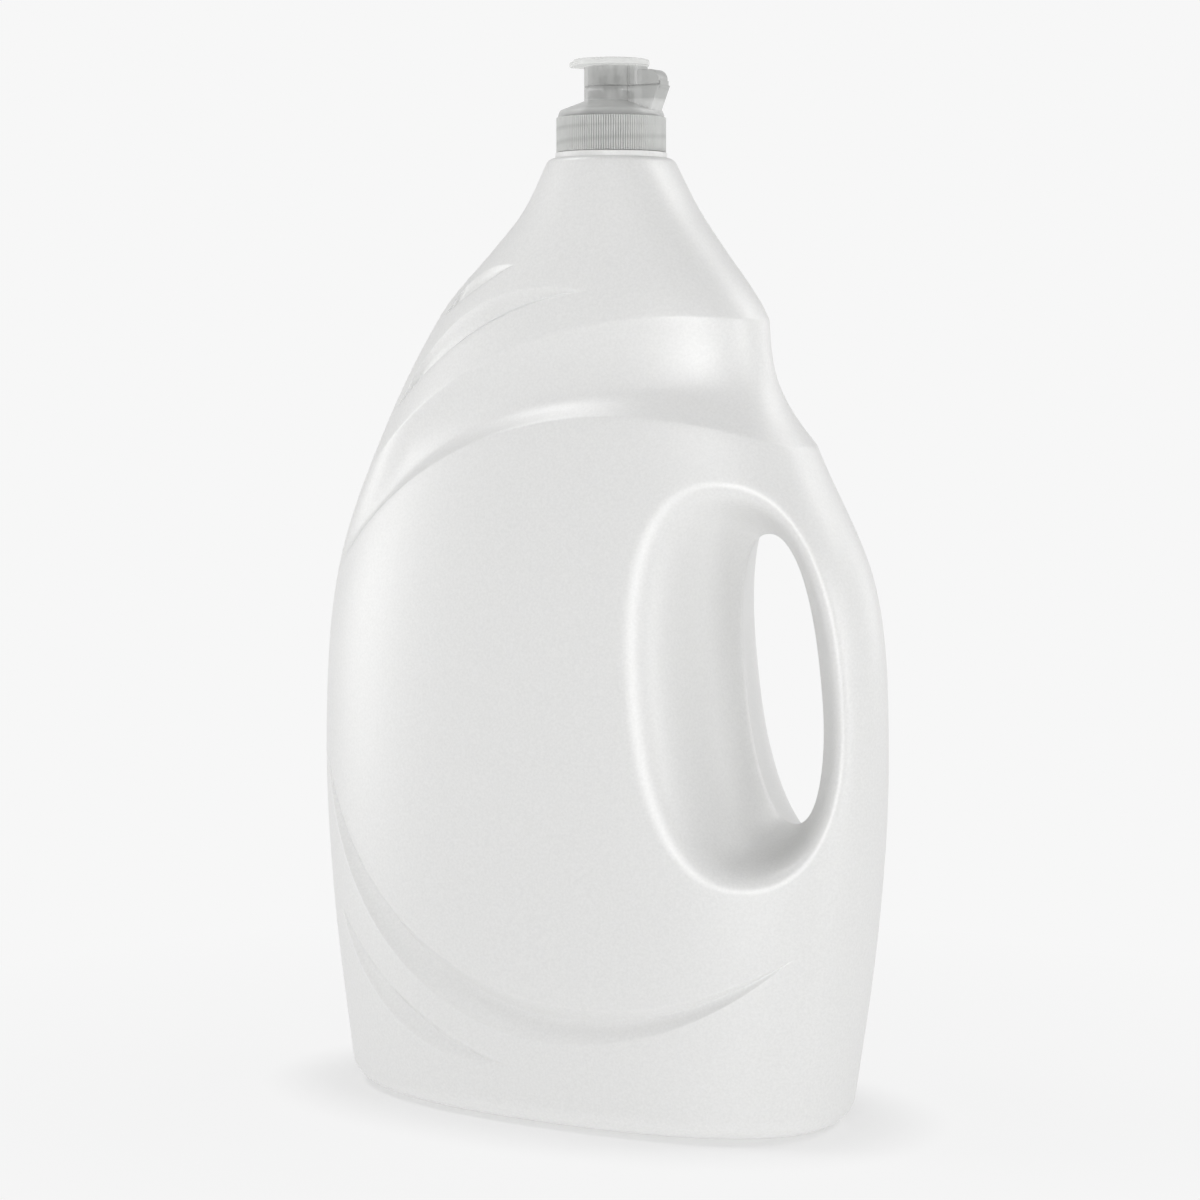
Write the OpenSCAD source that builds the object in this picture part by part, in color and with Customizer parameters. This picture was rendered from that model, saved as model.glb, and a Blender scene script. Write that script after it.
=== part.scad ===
// Family-size dish soap bottle: a blown shell with a through handle, a sculpted
// collar and crescents, closed by a screw closure with a flip lid.
// Origin at the middle of the base, +Z up, handle towards +X, main face towards -Y.

/* [Body] */
// Width of the body, end to end
body_w = 189; // [170:1:210]
// Depth of the body, face to face
body_d = 84; // [76:1:92]
// Height of the body from the base to the top of the shoulder
body_h = 285.8; // [270:0.1:310]
// Wall of the blown shell
wall = 1.3; // [0.9:0.1:1.6]
// Radius of the heel round the base
heel_r = 8; // [5:0.5:10]
// Width of the ring that the bottle stands on
foot_w = 4; // [2:0.5:5]
// Rise of the push-up inside that ring
push_up_h = 3.5; // [1:0.5:6]
// Radius of the shoulder under the neck
shoulder_r = 18.7; // [18:0.1:21]
// Rounding of the shoulder's top edge
shoulder_round = 1.6; // [1.5:0.1:3]
// Distance of the neck from the middle of the body, towards the handle
neck_x = 4.8; // [0:0.1:8]

/* [Grip opening] */
// Distance of the opening's throat from the middle of the body
grip_x = 62.8; // [60:0.1:65]
// Height of the opening's middle above the base
grip_z = 132.5; // [129:0.5:136]
// Clear width of the opening at its throat
grip_w = 23.5; // [18:0.5:28]
// Clear height of the opening at its throat
grip_h = 84; // [70:1:94]
// Distance of the flare's middle from the middle of the body
flare_x = 60; // [58:0.5:61]
// Width of the soft flare on the face
flare_w = 62; // [56:0.5:65]
// Height of the soft flare on the face
flare_h = 118; // [104:1:120]

/* [Collar and crescents] */
// Depth of the collar's scoop at the handle end
collar_d = 4.6; // [2:0.1:6]
// Length of collar height over which the scoop reaches that depth
collar_run = 40; // [30:1:60]
// Depth of the long lower crescent
long_crescent_d = 4; // [1:0.1:5]
// Depth of the short lower crescent
short_crescent_d = 2.8; // [1:0.1:4]
// Depth of the lower one of the two shoulder crescents
shoulder_crescent_d = 2.4; // [1:0.1:3]
// Depth of the top crescent
top_crescent_d = 1.4; // [0.5:0.1:2]

/* [Neck] */
// Outer diameter of the neck wall
neck_od = 25.2; // [24:0.1:26]
// Bore of the neck
neck_bore = 21.2; // [19:0.1:22]
// Height of the neck above the shoulder
neck_h = 12.6; // [10:0.1:14]
// Diameter of the support bead at the root of the neck
bead_od = 33.4; // [30:0.1:34]
// Height of the support bead
bead_h = 1.5; // [0.6:0.1:2]

/* [Closure] */
// Outer diameter of the knurled skirt
skirt_od = 32.8; // [31:0.1:34]
// Bore of the skirt
skirt_bore = 28.2; // [27.6:0.1:29]
// Height of the knurl
knurl_h = 10.4; // [8:0.1:11]
// Depth of the knurl
knurl_d = 0.4; // [0.2:0.05:0.6]
// Number of knurl ribs
knurl_count = 140; // [80:1:160]
// Step of the knurl band out of the plain skirt
knurl_step = 0.15; // [0.1:0.05:0.3]
// Height of the skirt to the edge of the cone
skirt_h = 12.3; // [11.8:0.1:13]
// Height at which the cone meets the spout
cone_h = 15.1; // [14:0.1:16]
// Height of the split between closure body and lid
split_h = 19.3; // [18:0.1:21]
// Outer diameter of the spout and of the lid's tube
spout_od = 16.2; // [15:0.1:17]
// Wall of the spout and of the lid's tube
spout_wall = 1.2; // [0.8:0.1:1.5]
// Outer diameter of the nozzle
nozzle_od = 7.6; // [7:0.1:9]
// Height of the nozzle above the split
nozzle_h = 3.3; // [2:0.1:4]
// Bore of the nozzle
nozzle_bore = 4.4; // [3.6:0.1:5]
// Depth of the plug seal inside the neck
plug_h = 4; // [2:0.1:6]
// Wall of the plug seal
plug_wall = 1; // [0.6:0.1:1.5]

/* [Lid] */
// Diameter of the lid's disc
lid_od = 22.8; // [20:0.1:25]
// Thickness of the lid's disc
lid_t = 1.9; // [1.2:0.1:2.5]
// Height of the whole closure
closure_h = 27.4; // [25:0.1:30]
// Reach of the thumb tab from the neck's axis
tab_reach = 13.7; // [12.5:0.1:15]
// Radius of the thumb tab's end
tab_r = 5; // [3:0.1:6]
// Diameter of the sealing pin
pin_od = 3.4; // [2.6:0.1:3.6]
// Reach of the sealing pin into the nozzle
pin_reach = 1.8; // [1:0.1:2.2]

/* [Hinge] */
// Width of the hinge block on the closure body
hinge_w = 7; // [5:0.1:9]
// Width of the hinge block on the lid
lid_hinge_w = 6; // [4:0.1:6.4]
// Width of the web that joins the hinge block to the lid's tube and disc
web_w = 7; // [6.6:0.1:8]
// Reach of that web from the neck's axis
web_reach = 10.7; // [9.5:0.1:11]
// Distance of the hinge axis from the neck's axis
hinge_reach = 18.3; // [17:0.1:19]
// Radius of the living hinge's bead
film_r = 0.3; // [0.2:0.05:0.4]
// Drop of the lid's hinge block below the disc
lid_hinge_drop = 1.6; // [1:0.1:2.5]
// Rounding of the lid block's rear top corner
lid_hinge_round = 3; // [1:0.1:3.5]

/* [Hidden] */
$fn = 96;
// Running gap between neighbouring pieces
gap = 0.3;
// Height over which the slope of the side is taken
slope_run = 1;
// Rounding of the small edges on the closure
edge_r = 0.6;
// Number of columns round the body
column_count = 48;
// Least height of a row beyond the tips of a crescent
row_gap = 0.8;
// Roundness of the body's plan and of the grip opening (2 is an ellipse)
plan_power = 2.3;
grip_power = 2.3;
// Sideways lean of the grip opening for each unit of height
grip_lean_share = -0.1;
// How straight the flare runs to the throat, and how soft its rim is, as shares of its width
throat_share = 0.4;
rim_share = 0.3;
tangent_share = 0.1;
// Shrink of the push-up inside the standing ring
push_up_share = 0.82;

// Outline of the body: height as a share of the body's height, then half width and
// half depth as shares of the way from shoulder to belly, and shift towards the neck
outline_shares = [
    [0,     0.847, 0.98,  0],
    [0.21,  0.96,  1,     0],
    [0.39,  1,     0.93,  0],
    [0.56,  0.945, 0.81,  0],
    [0.70,  0.725, 0.6,   -0.35],
    [0.84,  0.462, 0.34,  0.25],
    [0.91,  0.235, 0.18,  0.77],
    [0.945, 0.122, 0.11,  1],
    [1,     0,     0,     1]
];

// Edges of the collar and crescents on the face: both tips as shares of half width and
// body height, and the rise of the arc between them as a share of body height
collar_low_shares    = [[-0.93, 0.538], [0.745, 0.702], 0.098];
collar_high_shares   = [[-0.93, 0.612], [0.57, 0.832], 0.0695];
long_low_shares      = [[-0.91, 0.363], [0.835, 0.192], -0.18];
long_high_shares     = [[-0.91, 0.363], [0.835, 0.192], -0.138];
short_low_shares     = [[-0.815, 0.196], [-0.08, 0.062], -0.046];
short_high_shares    = [[-0.815, 0.196], [-0.08, 0.062], -0.0195];
shoulder_low_shares  = [[-0.64, 0.742], [0.11, 0.861], 0.021];
shoulder_high_shares = [[-0.64, 0.742], [0.11, 0.861], 0.046];
top_low_shares       = [[-0.465, 0.839], [-0.171, 0.889], 0.002];
top_high_shares      = [[-0.465, 0.839], [-0.171, 0.889], 0.0165];
// Angle from the handle end at which the collar has faded out, and over which it fades
collar_tip_angle = 162;
collar_fade_angle = 28;
// Place of each valley between the low and the high edge
lower_valley_share = 0.63;
upper_valley_share = 0.22;
collar_valley_share = 0.28;
collar_end_valley_share = 0.5;
// Face height over which a crescent reaches its full depth, as a share of body height
long_run_share = 0.045;
short_run_share = 0.03;
shoulder_run_share = 0.028;
top_run_share = 0.017;

// Rows of the collar's scoop between its edges
collar_row_shares = [0, 0.4, 1, 1.35, 1.7, 2];
// Rows of the panel that hold the grip opening
panel_low_share = 0.12;
panel_high_share = 0.95;
// First and last column of the grip opening's frame
frame_start_count = 1;
frame_end_count = 11;
// Steps of the heel's and of the shoulder's rounding
heel_step_angle = 30;
shoulder_step_angle = 45;
// Plain rows above the heel, between two grooves and under the neck
heel_land_count = 2;
groove_land_count = 1;
neck_land_count = 4;
// Rows of one crescent
crescent_row_count = 3;
// Rows of the panel and rings of the flare, on the outer and on the inner skin
outer_panel_count = 9;
outer_ring_count = 6;
inner_panel_count = 5;
inner_ring_count = 4;

closure_z = body_h + bead_h + gap;
neck_top = body_h + neck_h;
skirt_r = skirt_od / 2 - knurl_d - knurl_step;
spout_r = spout_od / 2;
plug_r = neck_bore / 2 - gap;
seat_h = neck_top + gap - closure_z;
lid_low = split_h + gap;
lid_under = closure_h - lid_t;
hinge_h = split_h + gap / 2;
block_root = spout_r - spout_wall / 2;

// Signed power, for rounded plans
function spow(v, p) = sign(v) * pow(abs(v), p);

// Smooth curve through one column of a table
function segment(t, v, i = 0) = i >= len(t) - 2 || v < t[i + 1][0] ? i : segment(t, v, i + 1);
function tangent(t, k, i) =
    let (a = max(i - 1, 0), b = min(i + 1, len(t) - 1))
    (t[b][k] - t[a][k]) / (t[b][0] - t[a][0]);
function smooth(t, k, v) =
    let (i = segment(t, v), run = t[i + 1][0] - t[i][0], s = (v - t[i][0]) / run)
    t[i][k] * (1 - s) * (1 - s) * (1 + 2 * s)
    + t[i + 1][k] * s * s * (3 - 2 * s)
    + run * (tangent(t, k, i) * s * (1 - s) * (1 - s) - tangent(t, k, i + 1) * s * s * (1 - s));

// Half width, half depth, centre and power of the plan at a height
function half_w(z) = shoulder_r + (body_w / 2 - shoulder_r) * smooth(outline_shares, 1, z / body_h);
function half_d(z) = shoulder_r + (body_d / 2 - shoulder_r) * smooth(outline_shares, 2, z / body_h);
function centre(z) = neck_x * smooth(outline_shares, 3, z / body_h);
function power(z) = 2 + (plan_power - 2) * smooth(outline_shares, 2, z / body_h);

// Point of the plan at a height and angle, moved inwards square to the plan
function plan(z, w, inset = 0) =
    let (
        a = half_w(z), b = half_d(z), n = power(z),
        c = cos(w), s = sin(w),
        out = [spow(c, 2 - 2 / n) / a, spow(s, 2 - 2 / n) / b]
    )
    [centre(z) + a * spow(c, 2 / n), b * spow(s, 2 / n)] - inset * out / norm(out);

// Depth of the undented face at a place seen from the front, for a plan drawn in by e
function face_y(x, z, e) =
    let (n = power(z), share = min(1, abs((x - centre(z)) / (half_w(z) - e))))
    (half_d(z) - e) * pow(1 - pow(share, n), 1 / n);

// Wall measured square to the slope of the side
function slope_wall(z, e) = e * sqrt(1 + pow((half_w(min(z + slope_run, body_h)) - half_w(z)) / slope_run, 2));

// Height of an arc through two tips, seen from the front
function arc_z(shares, x) =
    let (
        size = [body_w / 2, body_h],
        p = [shares[0][0] * size[0], shares[0][1] * size[1]],
        q = [shares[1][0] * size[0], shares[1][1] * size[1]],
        rise = shares[2] * body_h,
        half = norm(q - p) / 2,
        r = (half * half + rise * rise) / (2 * rise),
        up = [p[1] - q[1], q[0] - p[0]] / (2 * half),
        mid = (p + q) / 2 + up * (rise - r),
        dx = min(max(x, p[0]), q[0]) - mid[0]
    )
    mid[1] + sign(rise) * sqrt(max(0, r * r - dx * dx));

// Height at which that arc crosses a column of the body
function edge_z(shares, w, z, tries = 8) =
    tries == 0 ? z : edge_z(shares, w, arc_z(shares, plan(z, w)[0]), tries - 1);

// Low edge, high edge and depth share of a groove on a column
function band(low, high, w, run) =
    let (
        start = body_h * (low[0][1] + low[1][1]) / 2,
        a = edge_z(low, w, start),
        b = edge_z(high, w, start),
        mid = (a + b) / 2,
        half = max(b - a, row_gap) / 2,
        fill = min(1, max(0, b - a) / run)
    )
    [mid - half, mid + half, fill];

// Rows of a crescent: a floor and a wall that meet in a crisp valley
function crescent_rows(b, valley, depth) = [
    [b[0], 0],
    [b[0] + valley * (b[1] - b[0]), depth * b[2]],
    [b[1], 0]
];

// Rows of the collar: a scoop that turns smoothly in its valley
function collar_rows(b, valley, depth) = [
    for (s = collar_row_shares)
        let (share = s < 1 ? s * valley : valley + (s - 1) * (1 - valley))
        [b[0] + share * (b[1] - b[0]), depth * sin(90 * (s < 1 ? s : 2 - s))]
];

// Plain rows between two heights, without the ends
function land_rows(low, high, count) = [for (i = [1:count]) [low + (high - low) * i / (count + 1), 0]];

// Heights and insets of all rows of a column, from the foot to the shoulder
function column_rows(angle, e, panel_count) =
    let (
        w = angle > 180 ? 360 - angle : angle,
        short = band(short_low_shares, short_high_shares, w, short_run_share * body_h),
        long = band(long_low_shares, long_high_shares, w, long_run_share * body_h),
        collar = band(collar_low_shares, collar_high_shares, w, collar_run),
        shoulder = band(shoulder_low_shares, shoulder_high_shares, w, shoulder_run_share * body_h),
        top = band(top_low_shares, top_high_shares, w, top_run_share * body_h),
        valley = collar_valley_share
            + (collar_end_valley_share - collar_valley_share) * pow(max(0, cos(w)), 2),
        fade = min(1, max(0, (collar_tip_angle - w) / collar_fade_angle)),
        round_z = body_h - shoulder_round
    )
    concat(
        [[e, heel_r + foot_w]],
        [for (t = [0:heel_step_angle:90]) [heel_r - (heel_r - e) * cos(t), heel_r - (heel_r - e) * sin(t)]],
        [for (r = concat(
            land_rows(heel_r, short[0], heel_land_count),
            crescent_rows(short, lower_valley_share, short_crescent_d),
            land_rows(short[1], long[0], groove_land_count),
            crescent_rows(long, lower_valley_share, long_crescent_d),
            [for (i = [0:panel_count])
                [long[1] + (collar[0] - long[1])
                    * (panel_low_share + (panel_high_share - panel_low_share) * i / panel_count), 0]],
            collar_rows(collar, valley, collar_d * collar[2] * (2 - collar[2]) * fade),
            land_rows(collar[1], shoulder[0], groove_land_count),
            crescent_rows(shoulder, upper_valley_share, shoulder_crescent_d),
            land_rows(shoulder[1], top[0], groove_land_count),
            crescent_rows(top, upper_valley_share, top_crescent_d),
            land_rows(top[1], round_z, neck_land_count)
        )) [r[0], r[1] + slope_wall(r[0], e)]],
        [for (t = [0:shoulder_step_angle:90])
            [round_z + (shoulder_round - e) * sin(t), shoulder_round - (shoulder_round - e) * cos(t)]]
    );

// Rows below the grip opening's frame: foot, heel, land, short crescent, land, long crescent
foot_row_count = 1;
heel_row_count = 1 + 90 / heel_step_angle;
frame_row_count = foot_row_count + heel_row_count + heel_land_count + groove_land_count + 2 * crescent_row_count;

// Point of a superellipse of the grip opening, in front view
function grip_point(x, w, h, angle) =
    let (z = h / 2 * spow(sin(angle), 2 / grip_power))
    [x + grip_lean_share * z + w / 2 * spow(cos(angle), 2 / grip_power), grip_z + z];
function grip_angle(p) =
    let (z = p[1] - grip_z, x = p[0] - flare_x - grip_lean_share * z)
    atan2(spow(z / flare_h, grip_power / 2), spow(x / flare_w, grip_power / 2));

// Run of the flare from the face to the throat, on one ray round the opening
function flare_ray(start, e, rings) =
    let (
        angle = grip_angle([start[0], start[2]]),
        throat = grip_point(grip_x, grip_w + 2 * e, grip_h + 2 * e, angle),
        rim = grip_point(flare_x, flare_w + e, flare_h + e, angle),
        p0 = [rim[0], face_y(rim[0], rim[1], e), rim[1]],
        near = rim + tangent_share * (throat - rim),
        along = [near[0], face_y(near[0], near[1], e), near[1]] - p0,
        p1 = p0 + rim_share / tangent_share * along,
        p3 = [throat[0], 0, throat[1]],
        p2 = p3 + throat_share * (p0 - p3)
    )
    [for (i = [0:rings])
        let (s = i / rings, q = 1 - s)
        q * q * q * p0 + 3 * q * q * s * p1 + 3 * q * s * s * p2 + s * s * s * p3];

// Skin of the body drawn in by e, open at the shoulder, as points and faces: a grid of
// rows and columns with a frame left out on each face, from which rays run to the throat
// of the grip opening. The last points are the ring at the shoulder.
function skin(e, panel_count, rings) =
    let (
        grid = [for (j = [0:column_count - 1])
            let (angle = 360 * j / column_count)
            [for (r = column_rows(angle, e, panel_count)) concat(plan(r[0], angle, r[1]), r[0])]],
        pit = [for (c = grid)
            [centre(0) + (c[0][0] - centre(0)) * push_up_share, c[0][1] * push_up_share, push_up_h + e]],
        rows = len(grid[0]),
        last = frame_row_count + panel_count,
        // Corners of the frame on the back face, in order round it
        loop = concat(
            [for (j = [frame_start_count:frame_end_count - 1]) [j, frame_row_count]],
            [for (i = [frame_row_count:last - 1]) [frame_end_count, i]],
            [for (j = [frame_end_count:-1:frame_start_count + 1]) [j, last]],
            [for (i = [last:-1:frame_row_count + 1]) [frame_start_count, i]]
        ),
        count = len(loop),
        rays = [for (p = loop) flare_ray(grid[p[0]][p[1]], e, rings)],
        ring_start = column_count * (rows - 1),
        throat_start = ring_start + 2 * count * rings,
        pit_start = throat_start + count,
        top_start = pit_start + column_count,
        grid_at = function(j, i) i == rows - 1
            ? top_start + j % column_count
            : (j % column_count) * (rows - 1) + i,
        ray_at = function(k, r, back) r == 0
            ? grid_at(back ? loop[k][0] : column_count - loop[k][0], loop[k][1])
            : r == rings + 1 ? throat_start + k
            : ring_start + ((back ? 0 : count) + k) * rings + r - 1,
        in_frame = function(m, i) m >= frame_start_count && m < frame_end_count && i >= frame_row_count && i < last,
        points = concat(
            [for (c = grid) for (i = [0:rows - 2]) c[i]],
            [for (y = [1, -1]) for (r = rays) for (i = [0:rings - 1]) [r[i][0], y * r[i][1], r[i][2]]],
            [for (r = rays) r[rings]],
            pit,
            [for (c = grid) c[rows - 1]]
        ),
        faces = concat(
            [for (j = [0:column_count - 1]) for (i = [0:rows - 2])
                if (!in_frame(min(j, column_count - 1 - j), i))
                    each quad(grid_at(j, i), grid_at(j, i + 1), grid_at(j + 1, i + 1), grid_at(j + 1, i))],
            [for (back = [true, false]) for (k = [0:count - 1]) for (r = [0:rings])
                let (m = (back ? k + 1 : k - 1 + count) % count)
                each quad(ray_at(k, r, back), ray_at(k, r + 1, back), ray_at(m, r + 1, back), ray_at(m, r, back))],
            [for (j = [0:column_count - 1])
                let (m = (j + 1) % column_count)
                each quad(pit_start + j, grid_at(j, 0), grid_at(m, 0), pit_start + m)],
            [[for (j = [0:column_count - 1]) pit_start + j]]
        )
    )
    [points, faces];

// Two triangles of a quad
function quad(a, b, c, d) = [[a, b, c], [a, c, d]];

// Ring of points round the neck's axis
function mouth_ring(r, z) = [for (j = [0:column_count - 1])
    [neck_x + r * cos(360 * j / column_count), r * sin(360 * j / column_count), z]];

// Blown shell: outer skin, inner skin turned inside out, and the plate of the shoulder
// between them with a round mouth in it
module body_shell() {
    outer = skin(0, outer_panel_count, outer_ring_count);
    inner = skin(wall, inner_panel_count, inner_ring_count);
    inner_start = len(outer[0]);
    mouth_start = inner_start + len(inner[0]);
    mouth_r = (neck_bore + neck_od) / 4;
    starts = [inner_start - column_count, mouth_start, mouth_start + column_count, mouth_start - column_count];
    polyhedron(
        concat(outer[0], inner[0], mouth_ring(mouth_r, body_h), mouth_ring(mouth_r, body_h - wall)),
        concat(
            outer[1],
            [for (f = inner[1]) [for (i = [len(f) - 1:-1:0]) inner_start + f[i]]],
            [for (b = [0:2]) for (j = [0:column_count - 1])
                let (m = (j + 1) % column_count)
                each quad(starts[b] + j, starts[b + 1] + j, starts[b + 1] + m, starts[b] + m)]
        )
    );
}

// Section of the neck with its support bead, sunk half into the shoulder's plate
module neck_section() {
    low = body_h - wall / 2;
    polygon([
        [neck_bore / 2, low],
        [bead_od / 2, low],
        [bead_od / 2, body_h + bead_h],
        [neck_od / 2, body_h + bead_h],
        [neck_od / 2, neck_top],
        [neck_bore / 2, neck_top]
    ]);
}

module bottle() {
    color("whitesmoke") {
        body_shell();
        translate([neck_x, 0, 0]) rotate_extrude() neck_section();
    }
}

// Section of the screw half, from the skirt's inside to its outside
module closure_section() {
    polygon([
        [skirt_bore / 2, 0],
        [skirt_bore / 2, seat_h],
        [plug_r, seat_h],
        [plug_r, seat_h - plug_h],
        [plug_r - plug_wall, seat_h - plug_h],
        [plug_r - plug_wall, skirt_h - edge_r],
        [spout_r - spout_wall, cone_h - spout_wall],
        [spout_r - spout_wall, split_h - spout_wall],
        [nozzle_bore / 2, split_h - spout_wall],
        [nozzle_bore / 2, split_h + nozzle_h],
        [nozzle_od / 2, split_h + nozzle_h],
        [nozzle_od / 2, split_h],
        [spout_r, split_h],
        [spout_r, cone_h],
        [skirt_r - edge_r, skirt_h],
        [skirt_r, skirt_h - edge_r],
        [skirt_r, 0]
    ]);
}

// Plan of the knurl, a crest and a root for every rib
module knurl_plan() {
    step = 180 / knurl_count;
    polygon([for (i = [0:2 * knurl_count - 1])
        (skirt_r + knurl_step + (i % 2) * knurl_d) * [cos(i * step), sin(i * step)]]);
}

// Side outline of the lower hinge block
module hinge_outline() {
    polygon([
        [block_root, cone_h - spout_wall],
        [skirt_r - edge_r, skirt_h - edge_r],
        [hinge_reach, split_h],
        [block_root, split_h]
    ]);
}

module closure_body() {
    color("silver")
    translate([neck_x, 0, closure_z]) {
        rotate_extrude() closure_section();
        linear_extrude(knurl_h) difference() {
            knurl_plan();
            circle(r = skirt_r - edge_r);
        }
        rotate([90, 0, 0]) linear_extrude(hinge_w, center = true) hinge_outline();
        translate([hinge_reach, 0, hinge_h]) rotate([90, 0, 0]) cylinder(r = film_r, h = lid_hinge_w, center = true);
    }
}

// Section of the lid: disc, tube and sealing pin
module lid_section() {
    pin_low = split_h + nozzle_h - pin_reach;
    polygon([
        [0, pin_low],
        [pin_od / 2, pin_low],
        [pin_od / 2, lid_under],
        [spout_r - spout_wall, lid_under],
        [spout_r - spout_wall, lid_low],
        [spout_r, lid_low],
        [spout_r, lid_under],
        [lid_od / 2, lid_under],
        [lid_od / 2, closure_h - edge_r],
        [lid_od / 2 - edge_r, closure_h],
        [0, closure_h]
    ]);
}

// Side outline of the lid's hinge block, with a round rear corner
module lid_hinge_outline() {
    rear = hinge_reach - film_r - gap;
    high = lid_under - lid_hinge_drop;
    round_x = rear - lid_hinge_round;
    round_z = high - lid_hinge_round;
    polygon(concat(
        [[block_root, lid_low], [rear, lid_low]],
        [for (t = [0:15:90]) [round_x + lid_hinge_round * cos(t), round_z + lid_hinge_round * sin(t)]],
        [[block_root, high]]
    ));
}

// Side outline of the web, sunk into the disc
module web_outline() {
    translate([block_root, lid_low]) square([web_reach - block_root, lid_under + edge_r - lid_low]);
}

module flip_lid() {
    color("gainsboro")
    translate([neck_x, 0, closure_z]) {
        rotate_extrude() lid_section();
        translate([tab_r - tab_reach, 0, lid_under]) cylinder(r = tab_r, h = lid_t - edge_r);
        rotate([90, 0, 0]) linear_extrude(lid_hinge_w, center = true) lid_hinge_outline();
        rotate([90, 0, 0]) linear_extrude(web_w, center = true) web_outline();
    }
}

bottle();
closure_body();
flip_lid();
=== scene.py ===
"""Looks of a blown dish soap bottle with a flip-lid closure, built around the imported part."""

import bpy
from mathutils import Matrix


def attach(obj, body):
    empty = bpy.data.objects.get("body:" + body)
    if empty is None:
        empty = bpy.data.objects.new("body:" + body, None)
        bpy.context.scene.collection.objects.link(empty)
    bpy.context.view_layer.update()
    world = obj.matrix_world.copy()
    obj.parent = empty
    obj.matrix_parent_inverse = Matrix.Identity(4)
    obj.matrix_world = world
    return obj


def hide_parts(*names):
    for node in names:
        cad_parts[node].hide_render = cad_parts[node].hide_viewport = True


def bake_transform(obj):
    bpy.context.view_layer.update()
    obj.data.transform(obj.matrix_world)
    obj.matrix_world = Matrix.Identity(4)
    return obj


bl_info = {
    "name": "Dish soap bottle",
    "version": (1, 0, 0),
    "blender": (4, 5, 0),
    "location": "View3D > Sidebar > Bottle",
    "description": "Builds a blown dish soap bottle, its flip-lid closure and a studio stage",
    "category": "Object",
}

import math

import bmesh
import bpy
import numpy as np
from bpy.props import FloatProperty, FloatVectorProperty, IntProperty, PointerProperty
from mathutils import Matrix, Vector

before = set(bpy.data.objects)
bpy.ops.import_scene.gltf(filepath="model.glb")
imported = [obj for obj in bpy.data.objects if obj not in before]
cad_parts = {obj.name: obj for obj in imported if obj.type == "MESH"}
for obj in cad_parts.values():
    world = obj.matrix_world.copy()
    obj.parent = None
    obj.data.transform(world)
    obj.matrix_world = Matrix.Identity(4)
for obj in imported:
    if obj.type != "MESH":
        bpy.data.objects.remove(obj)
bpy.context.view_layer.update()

# Outline of the body: height as a share of the body's height, then half width and half depth
# as shares of the way from shoulder to belly, and shift towards the neck
OUTLINE_SHARES = (
    (0.0, 0.847, 0.98, 0.0),
    (0.21, 0.96, 1.0, 0.0),
    (0.39, 1.0, 0.93, 0.0),
    (0.56, 0.945, 0.81, 0.0),
    (0.70, 0.725, 0.6, -0.35),
    (0.84, 0.462, 0.34, 0.25),
    (0.91, 0.235, 0.18, 0.77),
    (0.945, 0.122, 0.11, 1.0),
    (1.0, 0.0, 0.0, 1.0),
)

# Edges of the grooves on the face: both tips as shares of half width and body height, and
# the rise of the arc between them as a share of body height
COLLAR_LOW = ((-0.93, 0.538), (0.745, 0.702), 0.098)
COLLAR_HIGH = ((-0.93, 0.612), (0.57, 0.832), 0.0695)
LONG_LOW = ((-0.91, 0.363), (0.835, 0.192), -0.18)
LONG_HIGH = ((-0.91, 0.363), (0.835, 0.192), -0.138)
SHORT_LOW = ((-0.815, 0.196), (-0.08, 0.062), -0.046)
SHORT_HIGH = ((-0.815, 0.196), (-0.08, 0.062), -0.0195)
SHOULDER_LOW = ((-0.64, 0.742), (0.11, 0.861), 0.021)
SHOULDER_HIGH = ((-0.64, 0.742), (0.11, 0.861), 0.046)
TOP_LOW = ((-0.465, 0.839), (-0.171, 0.889), 0.002)
TOP_HIGH = ((-0.465, 0.839), (-0.171, 0.889), 0.0165)

# Face height over which each groove reaches its depth, as a share of body height
LONG_RUN = 0.045
SHORT_RUN = 0.03
SHOULDER_RUN = 0.028
TOP_RUN = 0.017
COLLAR_RUN = 0.1397

# Place of each valley between the low and the high edge of its groove
LOWER_VALLEY = 0.63
UPPER_VALLEY = 0.22
COLLAR_VALLEY = 0.28
COLLAR_END_VALLEY = 0.5
COLLAR_TIP_ANGLE = 162.0
COLLAR_FADE_ANGLE = 28.0

# Roundness of the body's plan and of the grip opening, and lean of the opening
PLAN_POWER = 2.3
GRIP_POWER = 2.3
GRIP_LEAN = -0.1
THROAT_SHARE = 0.4
RIM_SHARES = (0.3, 0.62)
TANGENT_SHARE = 0.02
PUSH_UP_SHARE = 0.82

# Mesh counts: columns round the body, the columns and rows of the frame that holds the grip
# opening, and the rings on the face and down the flare
COLUMNS = 240
FRAME_COLUMNS = (5, 55)
FRAME_SHARES = (0.12, 0.95)
OUTER_RINGS = (8, 34)
INNER_RINGS = (3, 12)
EDGE_STEPS = (-1.0, -0.35, 0.35, 1.0)
EDGE_LIMIT = 0.45
EDGE_TRIES = 60
FRAME_LEAD = (0.04, 0.08)
FRAME_TAIL = (0.975,)

# Row counts of the fine outer skin and the coarse inner skin, with the rows under each groove in "gaps"
FINE = {
    "heel": 10, "frame": 39, "shoulder": 7, "base": 6, "rise": 8,
    "gaps": (8, 4, 0, 5, 4, 12), "collar": (7, 9),
}
COARSE = {
    "heel": 5, "frame": 13, "shoulder": 3, "base": 3, "rise": 3,
    "gaps": (2, 1, 0, 1, 1, 4), "collar": (2, 3),
}

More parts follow.
